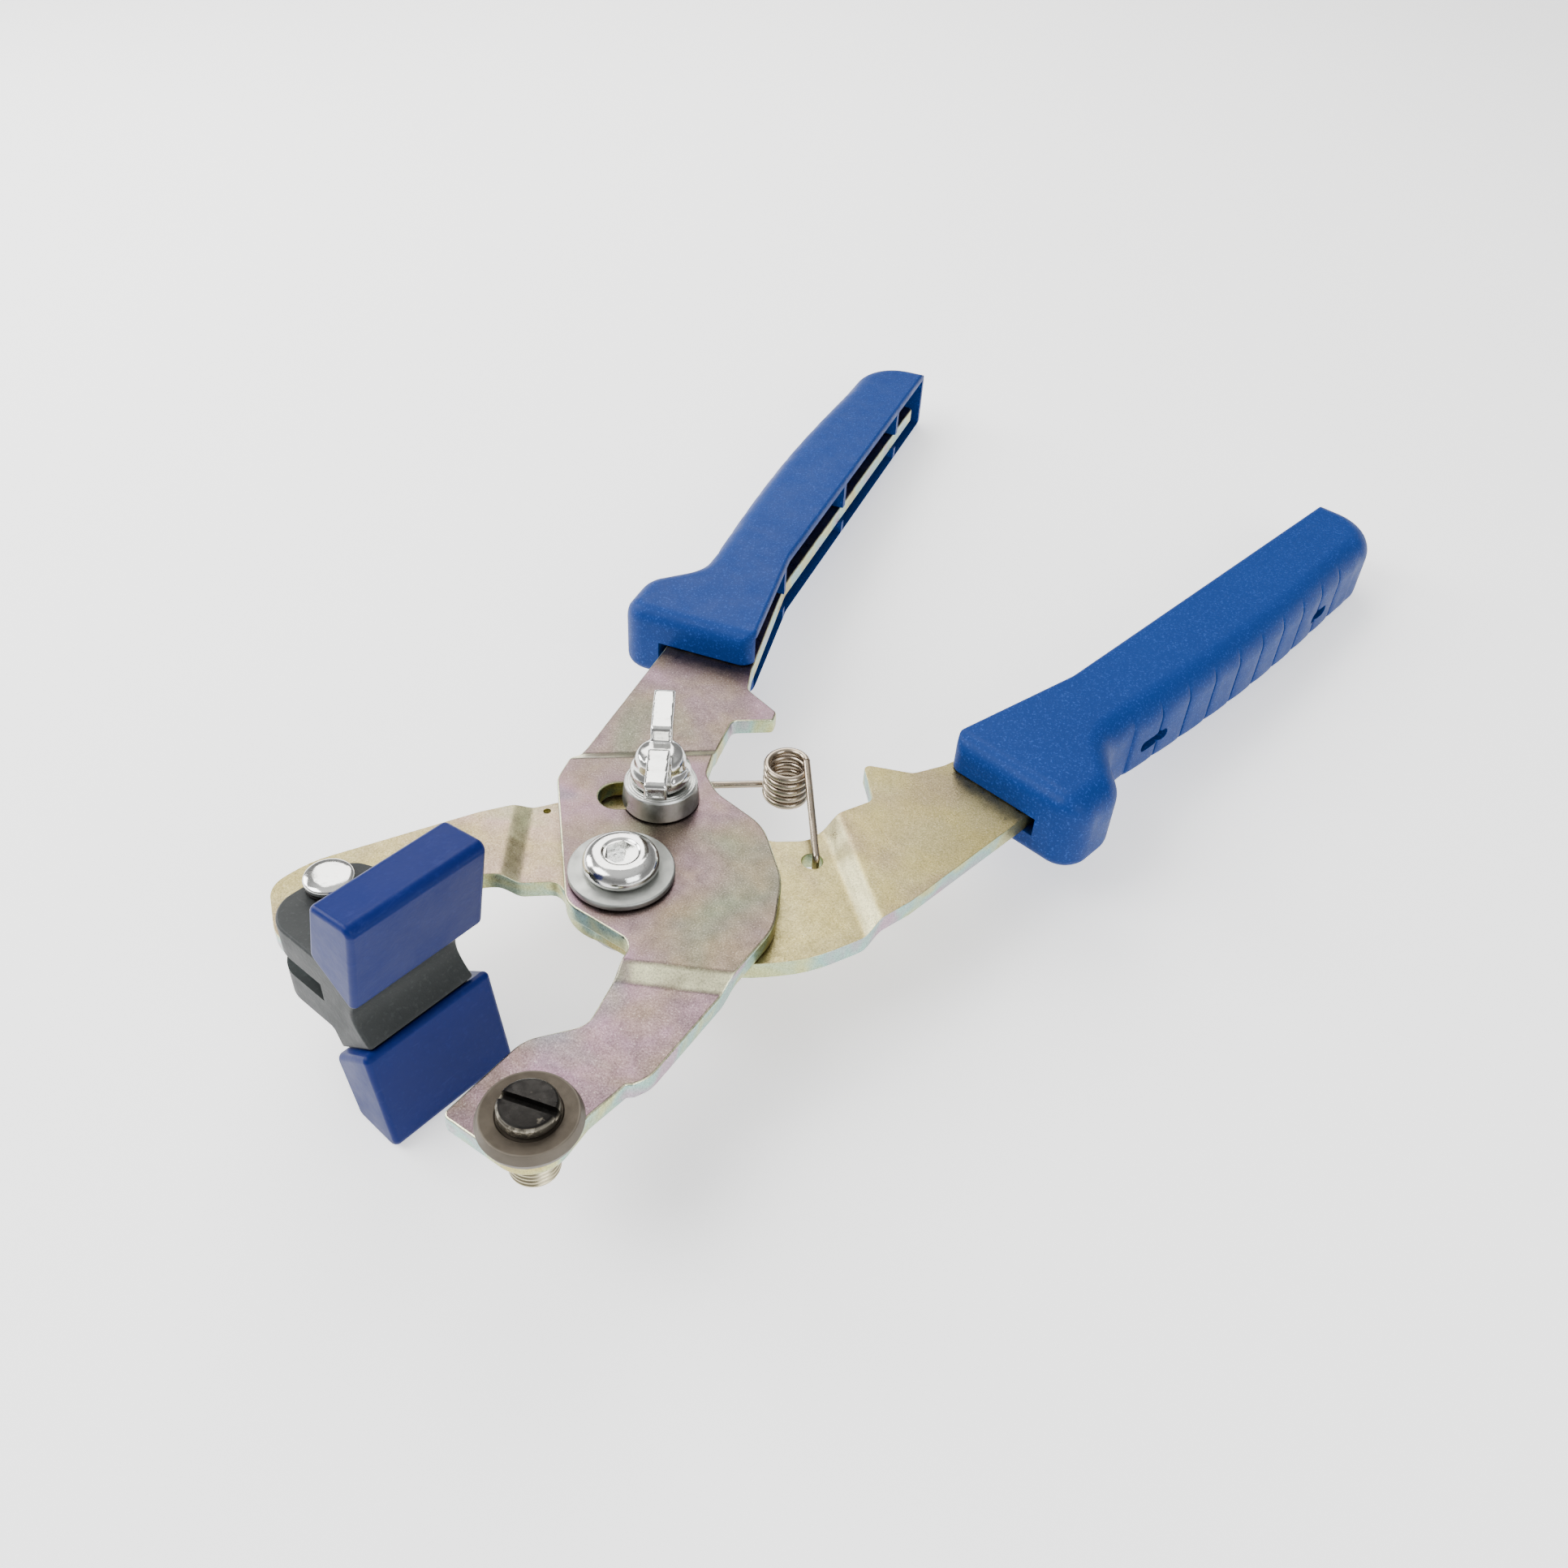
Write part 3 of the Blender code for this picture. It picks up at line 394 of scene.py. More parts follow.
def turned(profile, sides=96):
    """A shape turned about Z from (radius, height) points, on a closed line or one that ends on the axis."""
    bm = bmesh.new()
    rings = []
    for radius, height in profile:
        if radius == 0:
            rings.append([bm.verts.new((0, 0, height))])
        else:
            rings.append([bm.verts.new((x, y, height)) for x, y in circle(0, 0, radius, sides)])
    pairs = list(zip(rings, rings[1:]))
    if profile[0][0] > 0:
        pairs.append((rings[-1], rings[0]))
    for lower, upper in pairs:
        for k in range(sides):
            corners = []
            for ring, place in ((lower, k), (lower, k + 1), (upper, k + 1), (upper, k)):
                vert = ring[place % len(ring)]
                if vert not in corners:
                    corners.append(vert)
            bm.faces.new(corners)
    return bm


def softened(profile, size, closed=False):
    """A lathe profile with each corner cut twice, so that its edges catch the light."""
    out = []
    last = len(profile) - 1
    for i, (radius, height) in enumerate(profile):
        here = Vector((radius, height))
        if not closed and i in (0, last):
            out.append((radius, height))
            continue
        before = Vector(profile[i - 1]) - here
        after = Vector(profile[(i + 1) % (last + 1)]) - here
        if before.angle(after) > math.radians(155) or min(before.length, after.length) < 0.15:
            out.append((radius, height))
            continue
        reach = min(size, 0.4 * min(before.length, after.length))
        start = here + before.normalized() * reach
        end = here + after.normalized() * reach
        for share in (0.0, 0.33, 0.67, 1.0):
            point = start.lerp(here, share).lerp(here.lerp(end, share), share)
            out.append((max(point.x, 0.0), point.y))
    return out


def threaded(radius, low, high, pitch, depth):
    """Lathe profile points of thread crests and roots, from low to high."""
    points = []
    turns = int((high - low) / pitch)
    for k in range(turns):
        base = low + k * pitch
        points += [(radius - depth, base + 0.05 * pitch), (radius, base + 0.45 * pitch),
                   (radius, base + 0.6 * pitch)]
    return points


def grip_point(along, across, side):
    x = along * math.sin(GRIP_TILT) + across * math.cos(GRIP_TILT)
    y = along * math.cos(GRIP_TILT) - across * math.sin(GRIP_TILT)
    if side > 0:
        return x, y
    return 2 * MIRROR_X - x, y + MIRROR_SHIFT


# ---------------------------------------------------------------- objects
def solid(name, bm, mat=None, at=(0.0, 0.0), turn=0.0):
    """A named object from a bmesh in millimetres, its origin on the axis at (x, y) from the pivot."""
    bmesh.ops.recalc_face_normals(bm, faces=bm.faces)
    bmesh.ops.scale(bm, vec=(MM, MM, MM), verts=bm.verts)
    mesh = bpy.data.meshes.new(name)
    bm.to_mesh(mesh)
    bm.free()
    obj = bpy.data.objects.new(name, mesh)
    bpy.context.scene.collection.objects.link(obj)
    obj.location = (PIVOT + Vector((at[0], at[1], 0.0))) * MM
    obj.rotation_euler = (0.0, 0.0, turn)
    if mat:
        mesh.materials.append(mat)
    return obj


def bake(obj):
    """Applies the object's modifiers."""
    bpy.context.view_layer.update()
    graph = bpy.context.evaluated_depsgraph_get()
    mesh = bpy.data.meshes.new_from_object(obj.evaluated_get(graph))
    old = obj.data
    obj.modifiers.clear()
    obj.data = mesh
    mesh.name = obj.name
    bpy.data.meshes.remove(old)
    return obj


def carve(obj, bm, operation="DIFFERENCE", solver="EXACT", overlapping=False):
    """Cuts, joins or keeps a bmesh drawn in the object's own frame."""
    tool = solid("tool", bm)
    tool.location = obj.location
    tool.rotation_euler = obj.rotation_euler
    mod = obj.modifiers.new("carve", "BOOLEAN")
    mod.operation = operation
    mod.solver = solver
    mod.use_self = overlapping
    mod.object = tool
    bake(obj)
    bpy.data.objects.remove(tool)
    return obj


def ease_edges(obj, width, segments=3, angle=40.0):
    mod = obj.modifiers.new("edges", "BEVEL")
    mod.width = width * MM
    mod.segments = segments
    mod.limit_method = "ANGLE"
    mod.angle_limit = math.radians(angle)
    mod.use_clamp_overlap = True
    mod.miter_outer = "MITER_ARC"
    return bake(obj)


def shade(obj, angle=38.0):
    obj.data.shade_smooth()
    obj.data.set_sharp_from_angle(angle=math.radians(angle))
    mod = obj.modifiers.new("normals", "WEIGHTED_NORMAL")
    mod.keep_sharp = True
    return obj


def finish(obj, body, node, slot, angle=38.0, mat=None):
    """Shades the piece, hangs it on its body and hides its CAD node, whose place it takes."""
    obj.data.materials.clear()
    obj.data.materials.append(mat or LOOKS[slot])
    shade(obj, angle)
    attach(obj, body)
    if node:
        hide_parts(node)
    return obj


# ---------------------------------------------------------------- levers
class Joggle:
    """A bend step: the sheet shifts by rise past a line through two points."""

    def __init__(self, first, second, towards, rise):
        self.point = Vector(first)
        line = (Vector(second) - self.point).normalized()
        normal = Vector((-line.y, line.x))
        if normal.dot(Vector(towards) - self.point) < 0:
            normal = -normal
        self.normal = normal
        self.rise = rise

    def lift(self, x, y):
        distance = (Vector((x, y)) - self.point).dot(self.normal)
        share = min(max((distance + BEND_EASE) / (JOGGLE_RUN + 2 * BEND_EASE), 0.0), 1.0)
        return self.rise * share * share * (3 - 2 * share)

    def split(self, bm, cuts=10):
        for k in range(cuts + 1):
            distance = -BEND_EASE + (JOGGLE_RUN + 2 * BEND_EASE) * k / cuts
            place = (self.point + self.normal * distance) * MM
            everything = bm.verts[:] + bm.edges[:] + bm.faces[:]
            bmesh.ops.bisect_plane(
                bm, geom=everything, dist=1e-8, plane_co=(place.x, place.y, 0),
                plane_no=(self.normal.x, self.normal.y, 0))


def lever(name, corners, top, joggles, holes, body, mat, dimple=None):
    plate = solid(name, prism(rounded(corners), top - SHEET, top))
    cut = bmesh.new()
    for hole in holes:
        prism(hole, top - 3 * SHEET, top + 3 * SHEET, cut)
    carve(plate, cut)
    ease_edges(plate, EDGE_ROUND, 3, 60)
    if dimple:
        carve(plate, prism(circle(*dimple, 0.7, 24), top - 0.9, top + 1))
    bm = bmesh.new()
    bm.from_mesh(plate.data)
    for joggle in joggles:
        joggle.split(bm)
    for vert in bm.verts:
        vert.co.z += MM * sum(joggle.lift(vert.co.x / MM, vert.co.y / MM) for joggle in joggles)
    bm.to_mesh(plate.data)
    bm.free()
    return finish(plate, body, body, "yellow_zinc_plate", 35, mat)


def tang(side):
    along_across = (
        (GRIP_FRONT, 36.8, 0), (90, TANG_OUT, 12), (TANG_END, TANG_OUT, 4),
        (TANG_END, TANG_IN, 1.5), (97, TANG_IN, 12), (GRIP_FRONT, 17.6, 0))
    return [(*grip_point(along, across, side), radius) for along, across, radius in along_across]


def wheel_lever_corners():
    lug = [(-12.6, 57.1, 2), (-4.0, 54.3, 1.4), (-3.2, 51.8, 1.0), (-9.4, 46.8, 1.6)]
    right = [(-7.0, 38.5, 6), (-5.4, 34.6, 4), (-3.3, 29.4, 4), (1.2, 26.3, 8), (12.8, 24.0, 12),
             (22.6, 14.8, 14),
             (27.7, 4.6, 12)]
    jaw_outside = [(28.2, -29.6, 6), (26.9, -32.0, 0.6), (26.1, -32.6, 0.6), (25.0, -40.0, 8),
                   (25.8, -52.2, 6.4)]
    jaw_inside = [(7.7, -51.6, 1.2), (8.4, -34.8, 7), (14.4, -27.2, 4), (10.7, -11.2, 3.0)]
    boss = [(-3.4, -10.6, 6), (-24.4, 12.5, 5), (-26.3, 18.6, 5), (-26.9, 24.0, 5)]
    return tang(-1)[::-1] + boss[::-1] + jaw_inside[::-1] + jaw_outside[::-1] + right[::-1] + lug[::-1]


def breaker_lever_corners():
    outside = [(42.3, 24.6, 6), (40.1, 18.2, 6), (39.3, 14.2, 10), (34.4, 4.9, 25), (26.6, -2.1, 25),
               (12.0, -9.4, 16)]
    boss = arc_points(9.6, math.radians(-75), math.radians(-140), 14)
    throat = [(-9.8, -4.9, 2.5), (-14.9, -9.0, 8)]
    jaw_inside = [(-20.2, -12.0, 8), (-25.0, -22.5, 16), (-26.2, -33.0, 10), (-28.5, -42.0, 3)]
    jaw_tip = [(-37.5, -41.4, 7), (-46.3, -34.6, 5)]
    jaw_outside = [(-45.4, -27.0, 20), (-30.9, -0.9, 14), (-24.6, 7.9, 10), (-16.8, 19.0, 8)]
    rear = arc_points(25.5, math.radians(115), math.radians(84), 10)
    neck = [(14.0, 24.4, 4), (19.4, 28.6, 5), (20.9, 36.4, 8), (24.3, 43.0, 2.0)]
    lug = [(17.6, 50.6, 1.2), (26.6, 54.0, 3)]
    plain_boss = [(x, y, 0) for x, y in boss]
    plain_rear = [(x, y, 0) for x, y in rear]
    jaw = jaw_inside + jaw_tip + jaw_outside
    return outside + plain_boss + throat + jaw + plain_rear + neck + lug + tang(1)[::-1]


def slot_outline():
    start = LOCK_ANGLE - math.radians(1.0)
    end = LOCK_ANGLE + CLOSE_ANGLE + math.radians(0.4)
    outer = arc_points(SLOT_RADIUS + SLOT_HALF, start, end, 16)
    inner = arc_points(SLOT_RADIUS - SLOT_HALF, end, start, 16)
    far_end = (SLOT_RADIUS * math.cos(end), SLOT_RADIUS * math.sin(end))
    near_end = (SLOT_RADIUS * math.cos(start), SLOT_RADIUS * math.sin(start))
    cap_far = arc_points(SLOT_HALF, end, end + math.pi, 20, far_end)[1:-1]
    cap_near = arc_points(SLOT_HALF, start + math.pi, start + 2 * math.pi, 20, near_end)[1:-1]
    return outer + cap_far + inner + cap_near


def build_levers():
    upper_joggles = [
        Joggle((-26.5, 17.9), (-5.4, 34.6), (-20, 50), MID_TOP),
        Joggle((11.3, -15.3), (26.7, -7.7), (20, -45), MID_TOP)]
    lower_joggles = [
        Joggle((19.8, 32.9), (39.2, 14.9), (40, 45), -MID_TOP),
        Joggle((-25.7, 7.2), (-15.9, -7.6), (-40, -20), -MID_TOP)]
    upper_holes = [circle(0, 0, 3.3), slot_outline(), circle(*WHEEL, 2.8), circle(*LEG_HOLE, 0.9, 24)]
    lower_holes = [circle(0, 0, 3.3), circle(*LOCK, 2.8), circle(*HOOK_HOLE, 1.9, 32), circle(*BOLT, 2.8)]
    lever("fine_wheel_lever", wheel_lever_corners(), 0.0, upper_joggles, upper_holes, "wheel_lever",
          LOOKS["yellow_zinc_plate"])
    lever("fine_breaker_lever", breaker_lever_corners(), LOWER_TOP, lower_joggles, lower_holes,
          "breaker_lever", STRAW_ZINC, (-22.8, 7.6))


# ---------------------------------------------------------------- grips
def grip_corners():
    """Corners (along, across, radius) of the widest outline, the rounding after each and its ridge height."""
    front = [(GRIP_FRONT, 17.6, 3.0), (GRIP_FRONT, GUARD_OUT, 5.5), (77.3, GUARD_OUT, 7.0),
             (86.0, GRIP_OUT - 0.6, 9.0)]
    back = [(GRIP_END, GRIP_OUT - 0.7, 12.0), (GRIP_END, GRIP_IN, 2.5), (97.0, GRIP_IN, 14.0)]
    ridges = []
    crests = []
    for ridge in range(RIDGE_COUNT):
        for share, crest in RIDGE_SHAPE:
            along = RIDGE_START + RIDGE_PITCH * (ridge + share)
            done = (along - RIDGE_START) / (RIDGE_PITCH * RIDGE_COUNT)
            swell = 1.7 * math.sin(math.pi * min(done * 1.05, 1.0)) - 0.6
            ridges.append((along, GRIP_OUT + swell, 0))
            crests.append(crest if ridge or share else 0.0)
    edges = [FRONT_ROUND] + [OUTER_ROUND] * (len(ridges) + 4) + [INNER_ROUND, INNER_ROUND]
    return front + ridges + back, edges, [0] * 4 + crests + [0] * 3


def edge_inset(height, rounding):
    if height > MID:
        return rounding - math.sqrt(max(rounding ** 2 - max(height - GRIP_TOP + rounding, 0.0) ** 2, 0.0))
    drop = max(GRIP_BOTTOM + LOWER_ROUND - height, 0.0)
    return LOWER_ROUND - math.sqrt(max(LOWER_ROUND ** 2 - drop ** 2, 0.0))


def smooth_share(value, start, end):
    share = min(max((value - start) / (end - start), 0.0), 1.0)
    return share * share * (3 - 2 * share)


def grip_outline(side, height):
    corners, edges, crests = grip_corners()
    insets = [edge_inset(height, rounding) for rounding in edges]
    fade = (1 - smooth_share(height, 0.6, 4.6)) * smooth_share(height, GRIP_BOTTOM + 0.2, GRIP_BOTTOM + 2.2)
    count = len(corners)
    plan = []
    for i, (along, across, radius) in enumerate(corners):
        here = Vector((along, across))
        before = (here - Vector(corners[i - 1][:2])).normalized()
        after = (Vector(corners[(i + 1) % count][:2]) - here).normalized()
        normals = [Vector((line.y, -line.x)) for line in (before, after)]
        turn = before.cross(after)
        if abs(turn) < 0.15:
            shift = (normals[0] + normals[1]).normalized() * insets[i]
        else:
            rows = Matrix(((normals[0].x, normals[0].y), (normals[1].x, normals[1].y)))
            shift = rows.inverted() @ Vector((insets[i - 1], insets[i]))
        drawn_in = max(insets[i - 1], insets[i])
        if radius > 0:
            radius = max(radius - drawn_in, 0.4) if turn < 0 else radius + drawn_in
        place = here + shift
        ridge = RIDGE_RISE * (crests[i] - 0.35) * fade * (crests[i] > 0 or radius == 0)
        plan.append((place.x, place.y + ridge, radius))
    return [grip_point(along, across, side) for along, across in rounded(plan, 6.0)]


def grip_box(along, across, heights, side, bm=None):
    corners = ((along[0], across[0]), (along[1], across[0]), (along[1], across[1]), (along[0], across[1]))
    return prism([grip_point(s, w, side) for s, w in corners], *heights, bm)


def window_cut(start, length, side, bm):
    """A slot with rounded ends through the ridged side."""
    half = 1.25
    outline = rounded([(start, MID - half, 1.1), (start + length, MID - half, 1.1),
                       (start + length, MID + half, 1.1), (start, MID + half, 1.1)], 18.0)
    rings = []
    for across in (35.0, 45.0):
        rings.append([bm.verts.new((*grip_point(along, across, side), height)) for along, height in outline])
    for k in range(len(outline)):
        bm.faces.new((rings[0][k - 1], rings[0][k], rings[1][k], rings[1][k - 1]))
    bm.faces.new(rings[0])
    bm.faces.new(rings[1])


def grip(name, side, body, node):
    heights = [GRIP_BOTTOM + LOWER_ROUND * (1 - math.cos(math.radians(turn)))
               for turn in (0, 20, 40, 60, 75, 90)]
    heights += [-6.5, -5.0, -3.0, -1.0]
    heights += [GRIP_TOP - OUTER_ROUND * (1 - math.sin(math.radians(turn))) for turn in range(0, 91, 9)]
    bm = bmesh.new()
    rings = [[bm.verts.new((x, y, height)) for x, y in grip_outline(side, height)] for height in heights]
    for lower, upper in zip(rings, rings[1:]):
        for k in range(len(lower)):
            bm.faces.new((lower[k - 1], lower[k], upper[k], upper[k - 1]))
    bm.faces.new(rings[0])
    bm.faces.new(rings[-1])
    shell = solid(name, bm)
    bays = [GRIP_FRONT + 2.4] + [place + RIB_THICK / 2 for place in RIB_PLACES]
    ends = [place - RIB_THICK / 2 for place in RIB_PLACES] + [GRIP_END - 3.6]
    cut = bmesh.new()
    for start, stop in zip(bays, ends):
        grip_box((start, stop), (10.0, 34.4), (GRIP_BOTTOM + GRIP_WALL, GRIP_TOP - GRIP_WALL), side, cut)
    carve(shell, cut)
    slot_plan = [(GRIP_FRONT - 5, 10.0), (GRIP_FRONT - 5, 38.6), (84.0, 38.6), (84.0, TANG_OUT + 0.5),
                 (TANG_END + GAP, TANG_OUT + GAP), (TANG_END + GAP, 10.0)]
    slot_plan = [grip_point(along, across, side) for along, across in slot_plan]
    carve(shell, prism(slot_plan, MID - SHEET / 2 - GAP, MID + SHEET / 2 + GAP))
    windows = bmesh.new()
    for start, length in WINDOWS:
        window_cut(start, length, side, windows)
    carve(shell, windows)
    return finish(shell, body, node, "blue_grip_plastic", 32)


# ---------------------------------------------------------------- pivot, lock, wheel
def lathe_piece(name, profile, body, node, slot, at=(0.0, 0.0), soften=0.15, closed=True, mat=None, sides=96):
    obj = solid(name, turned(softened(profile, soften, closed), sides), at=at)
    return finish(obj, body, node, slot, 40, mat)


def nut_piece(name, flats, bore, low, high, body, node, at=(0.0, 0.0)):
    """A hexagon nut: chamfered corners come from meeting it with a double cone."""
    nut = solid(name, prism(hexagon(flats), low, high), at=at)
    wide = flats / math.sqrt(3)
    cone = [(0, low), (flats / 2 - 0.1, low), (wide + 0.1, low + 0.9), (wide + 0.1, high - 0.9),
            (flats / 2 - 0.1, high), (0, high)]
    carve(nut, turned(cone, 96), "INTERSECT")
    carve(nut, prism(circle(0, 0, bore, 64), low - 3, high + 3))
    ease_edges(nut, 0.12, 2, 30)
    return finish(nut, body, node, "bright_zinc", 30)


def build_pivot():
    top = GAP
    washer = [(3.3, top), (9.0, top), (9.0, top + 0.95), (8.8, top + 1.2), (3.3, top + 1.2)]
    lathe_piece("fine_pivot_washer", washer,
                "wheel_lever", "pivot_washer", "bright_zinc", mat=MATTE_ZINC)
    seat = top + 1.2 + GAP
    profile = [(0, -15.6), (2.4, -15.6)] + threaded(3.0, -15.4, -8.5, 1.0, 0.4)
    profile += [(3.0, -8.2), (3.0, seat), (5.8, seat), (6.3, seat + 0.35)]
    profile += [(3.9 + 2.6 * math.cos(a), seat + 0.9 + 2.5 * math.sin(a))
                for a in (math.radians(d) for d in range(0, 90, 8))]
    profile += [(3.9, seat + 3.4), (3.3, seat + 3.4), (2.9, seat + 3.1), (0, seat + 3.1)]
    screw = solid("fine_pivot_screw", turned(softened(profile, 0.12), 96))
    carve(screw, prism(hexagon(5.0), seat + 0.7, seat + 5))
    finish(screw, "wheel_lever", "pivot_screw", "polished_steel", 35)
    under = LOWER_TOP - SHEET - GAP
    washer = [(3.3, under - 1.2), (6.2, under - 1.2), (6.2, under), (3.3, under)]
    lathe_piece("fine_pivot_lower_washer", washer,
                "wheel_lever", "pivot_lower_washer", "bright_zinc")
    nut_top = under - 1.2 - GAP
    nut_piece("fine_pivot_lock_nut", 10.0, 3.3, nut_top - 5.0, nut_top, "wheel_lever", "pivot_lock_nut")


def build_lock():
    rings = []
    for k in range(2):
        radius = 6.0 - 0.5 * k
        rings += [(radius, 4.6), (radius - 0.1, 4.5), (radius - 0.22, 4.5), (radius - 0.32, 4.6)]
    profile = [(2.8, LOWER_TOP + GAP), (3.15, LOWER_TOP + GAP), (3.15, GAP), (6.8, GAP), (6.85, GAP + 0.3),
               (6.45, 4.3), (6.2, 4.6)] + rings + [(2.8, 4.6)]
    lathe_piece("fine_lock_collar", profile, "breaker_lever", "lock_collar", "bright_zinc", LOCK)
    low = LOWER_TOP - SHEET - GAP - 1.0
    lathe_piece("fine_lock_lower_washer", [(2.8, low), (5.0, low), (5.0, low + 1.0), (2.8, low + 1.0)],
                "breaker_lever", "lock_lower_washer", "bright_zinc", LOCK)
    under = low - GAP
    nut_piece("fine_lock_nut", 8.0, 2.8, under - 4.0, under, "breaker_lever", "lock_nut", LOCK)
    build_wing(4.6 + GAP, under - 4.8)


def build_wing(base, tip):
    """A cast wing screw: hub and wings are joined, remeshed and relaxed so that they flow into each other."""
    hub = [(0, base - 1.5), (2.5, base - 1.5), (2.5, base), (4.7, base), (5.3, base + 0.8),
           (5.4, base + 2.4), (5.0, base + 3.1), (4.6, base + 3.5), (4.4, base + 5.0), (3.9, base + 6.0),
           (2.4, base + 6.5), (0, base + 6.7)]
    head = solid("fine_wing_screw", turned(softened(hub, 0.3), 72), at=LOCK)
    right_wing = [(1.8, 11.0, 0.8), (2.7, 14.0, 0.8), (13.3, 14.9, 1.1), (13.3, 11.5, 1.1), (4.9, 6.9, 3.0)]
    left_wing = [(-along, height, radius) for along, height, radius in reversed(right_wing)]
    bar = prism(rounded(left_wing + right_wing, 12.0), -WING_THICK / 2, WING_THICK / 2)
    bmesh.ops.rotate(bar, verts=bar.verts, cent=(0, 0, 0), matrix=Matrix.Rotation(math.radians(90), 3, "X"))
    bmesh.ops.rotate(bar, verts=bar.verts, cent=(0, 0, 0), matrix=Matrix.Rotation(WING_HEADING, 3, "Z"))
    carve(head, bar, "UNION")
    remesh = head.modifiers.new("remesh", "REMESH")
    remesh.mode = "VOXEL"
    remesh.voxel_size = 0.26 * MM
    relax = head.modifiers.new("relax", "SMOOTH")
    relax.factor = 0.5
    relax.iterations = 8
    bake(head)
    finish(head, "wing_screw", "wing_screw", "polished_steel", 80)
    shank = [(0, tip), (2.1, tip)] + threaded(2.5, tip + 0.2, base - 1.0, 0.8, 0.32)
    shank += [(2.3, base - 0.9), (0, base - 0.9)]
    thread = solid("wing_screw_thread", turned(shank, 48), at=LOCK)
    finish(thread, "wing_screw", None, "polished_steel", 40, THREAD)


def build_wheel():
    low = MID_TOP + GAP
    high = low + WHEEL_THICK
    face = WHEEL_RADIUS - 0.6
    edge = low + WHEEL_THICK / 2
    profile = [(3.3, low), (face, low), (WHEEL_RADIUS, edge - 0.08), (WHEEL_RADIUS, edge + 0.08),
               (face, high), (4.9, high), (4.75, high - 0.15), (3.3, high - 0.15)]
    lathe_piece("fine_scoring_wheel", profile, "scoring_wheel", "scoring_wheel", "wheel_carbide", WHEEL,
                0.12, sides=128)
    seat = high + GAP
    profile = [(0, -12.5), (2.1, -12.5)] + threaded(2.5, -12.3, -6.3, 0.8, 0.32)
    profile += [(2.5, -6.0), (2.5, MID_TOP + GAP), (3.0, MID_TOP + GAP), (3.0, seat),
                (4.5, seat), (4.6, seat + 0.3), (4.55, seat + 1.4), (4.35, seat + 1.75), (3.9, seat + 1.95),
                (0, seat + 2.05)]
    screw = solid("fine_wheel_screw", turned(softened(profile, 0.14), 96), at=WHEEL)
    slot = prism([(-8, -0.7), (8, -0.7), (8, 0.7), (-8, 0.7)], seat + 0.8, seat + 5)
    bmesh.ops.rotate(slot, verts=slot.verts, cent=(0, 0, 0), matrix=Matrix.Rotation(math.radians(14), 3, "Z"))
    carve(screw, slot)
    finish(screw, "wheel_lever", "wheel_screw", "blackened_steel", 35)
    top = MID_TOP - SHEET - GAP
    grooves = []
    height = -11.0
    while height < top - 1.2:
        grooves += [(3.9, height), (3.62, height + 0.3), (3.9, height + 0.6)]
        height += 0.85
    profile = [(2.8, -11.7), (3.5, -11.7), (3.8, -11.4)] + grooves + [(3.9, top), (2.8, top)]
    lathe_piece("fine_wheel_axle_nut", profile, "wheel_lever", "wheel_axle_nut", "yellow_zinc_plate", WHEEL,
                0.05, mat=TURNED_YELLOW)


# ---------------------------------------------------------------- breaker head
def along_head(section, half, shift=0.0):
    made = prism(section, shift - half, shift + half)
    bmesh.ops.transform(made, matrix=Matrix(((1, 0, 0), (0, 0, 1), (0, 1, 0))).to_4x4(), verts=made.verts)
    bmesh.ops.translate(made, vec=(0, 0, MID), verts=made.verts)
    return made


def pad(name, sign, node):
    corners = [(21.6, 5.3, 1.0), (25.6, 26.0, 1.6), (15.7, 24.5, 1.6), (12.5, 12.0, 1.6)]
    section = rounded([(across, sign * height, radius) for across, height, radius in corners], 10.0)
    cap = solid(name, along_head(section, PAD_HALF_LENGTH, PAD_SHIFT), at=BOLT, turn=HEAD_TURN)
    ease_edges(cap, 1.1, 4, 60)
    pocket = [(14.0, sign * 5.0), (19.9, sign * 3.0), (21.6, sign * 20.3), (17.5, sign * 20.3)]
    carve(cap, along_head(pocket, 8.8))
    return finish(cap, "breaker_head", node, "royal_blue_pad", 32)


def build_head():
    back = -3.4
    channel = [(17.6 + 3.4 * (k / 12) ** 2, 5.3 * k / 12) for k in range(-12, 13)]
    upper = [(12.35, 11.8), (10.8, CHEEK_TOP), (back, CHEEK_TOP)]
    lower = [(across, -height) for across, height in reversed(upper)]
    block = solid("fine_breaker_block", along_head(channel + upper + lower, 20.0), at=BOLT, turn=HEAD_TURN)
    plan = rounded([(back - 0.1, BLOCK_NEAR, 6), (30, BLOCK_NEAR, 0), (30, BLOCK_FAR, 0), (6.5, BLOCK_FAR, 5),
                    (back - 0.1, BLOCK_FAR - 4.0, 5)])
    carve(block, prism(plan, -60, 60), "INTERSECT")
    ease_edges(block, 0.6, 3, 35)
    for sign in (1, -1):
        tongue = [(19.8, sign * 5.0), (21.3, sign * 20.0), (17.8, sign * 20.0), (14.6, sign * 7.5)]
        carve(block, along_head(tongue, 8.5), "UNION")
    slot = prism([(-9, -20), (10.3, -20), (10.3, 20), (-9, 20)], MID - SHEET / 2 - GAP, MID + SHEET / 2 + GAP)
    carve(block, slot)
    carve(block, prism(circle(0, 0, 2.8, 64), -60, 60))
    finish(block, "breaker_head", "breaker_block", "dark_grey_plastic", 32)
    pad("fine_upper_pad", 1, "upper_pad")
    pad("fine_lower_pad", -1, "lower_pad")
    build_head_bolt()


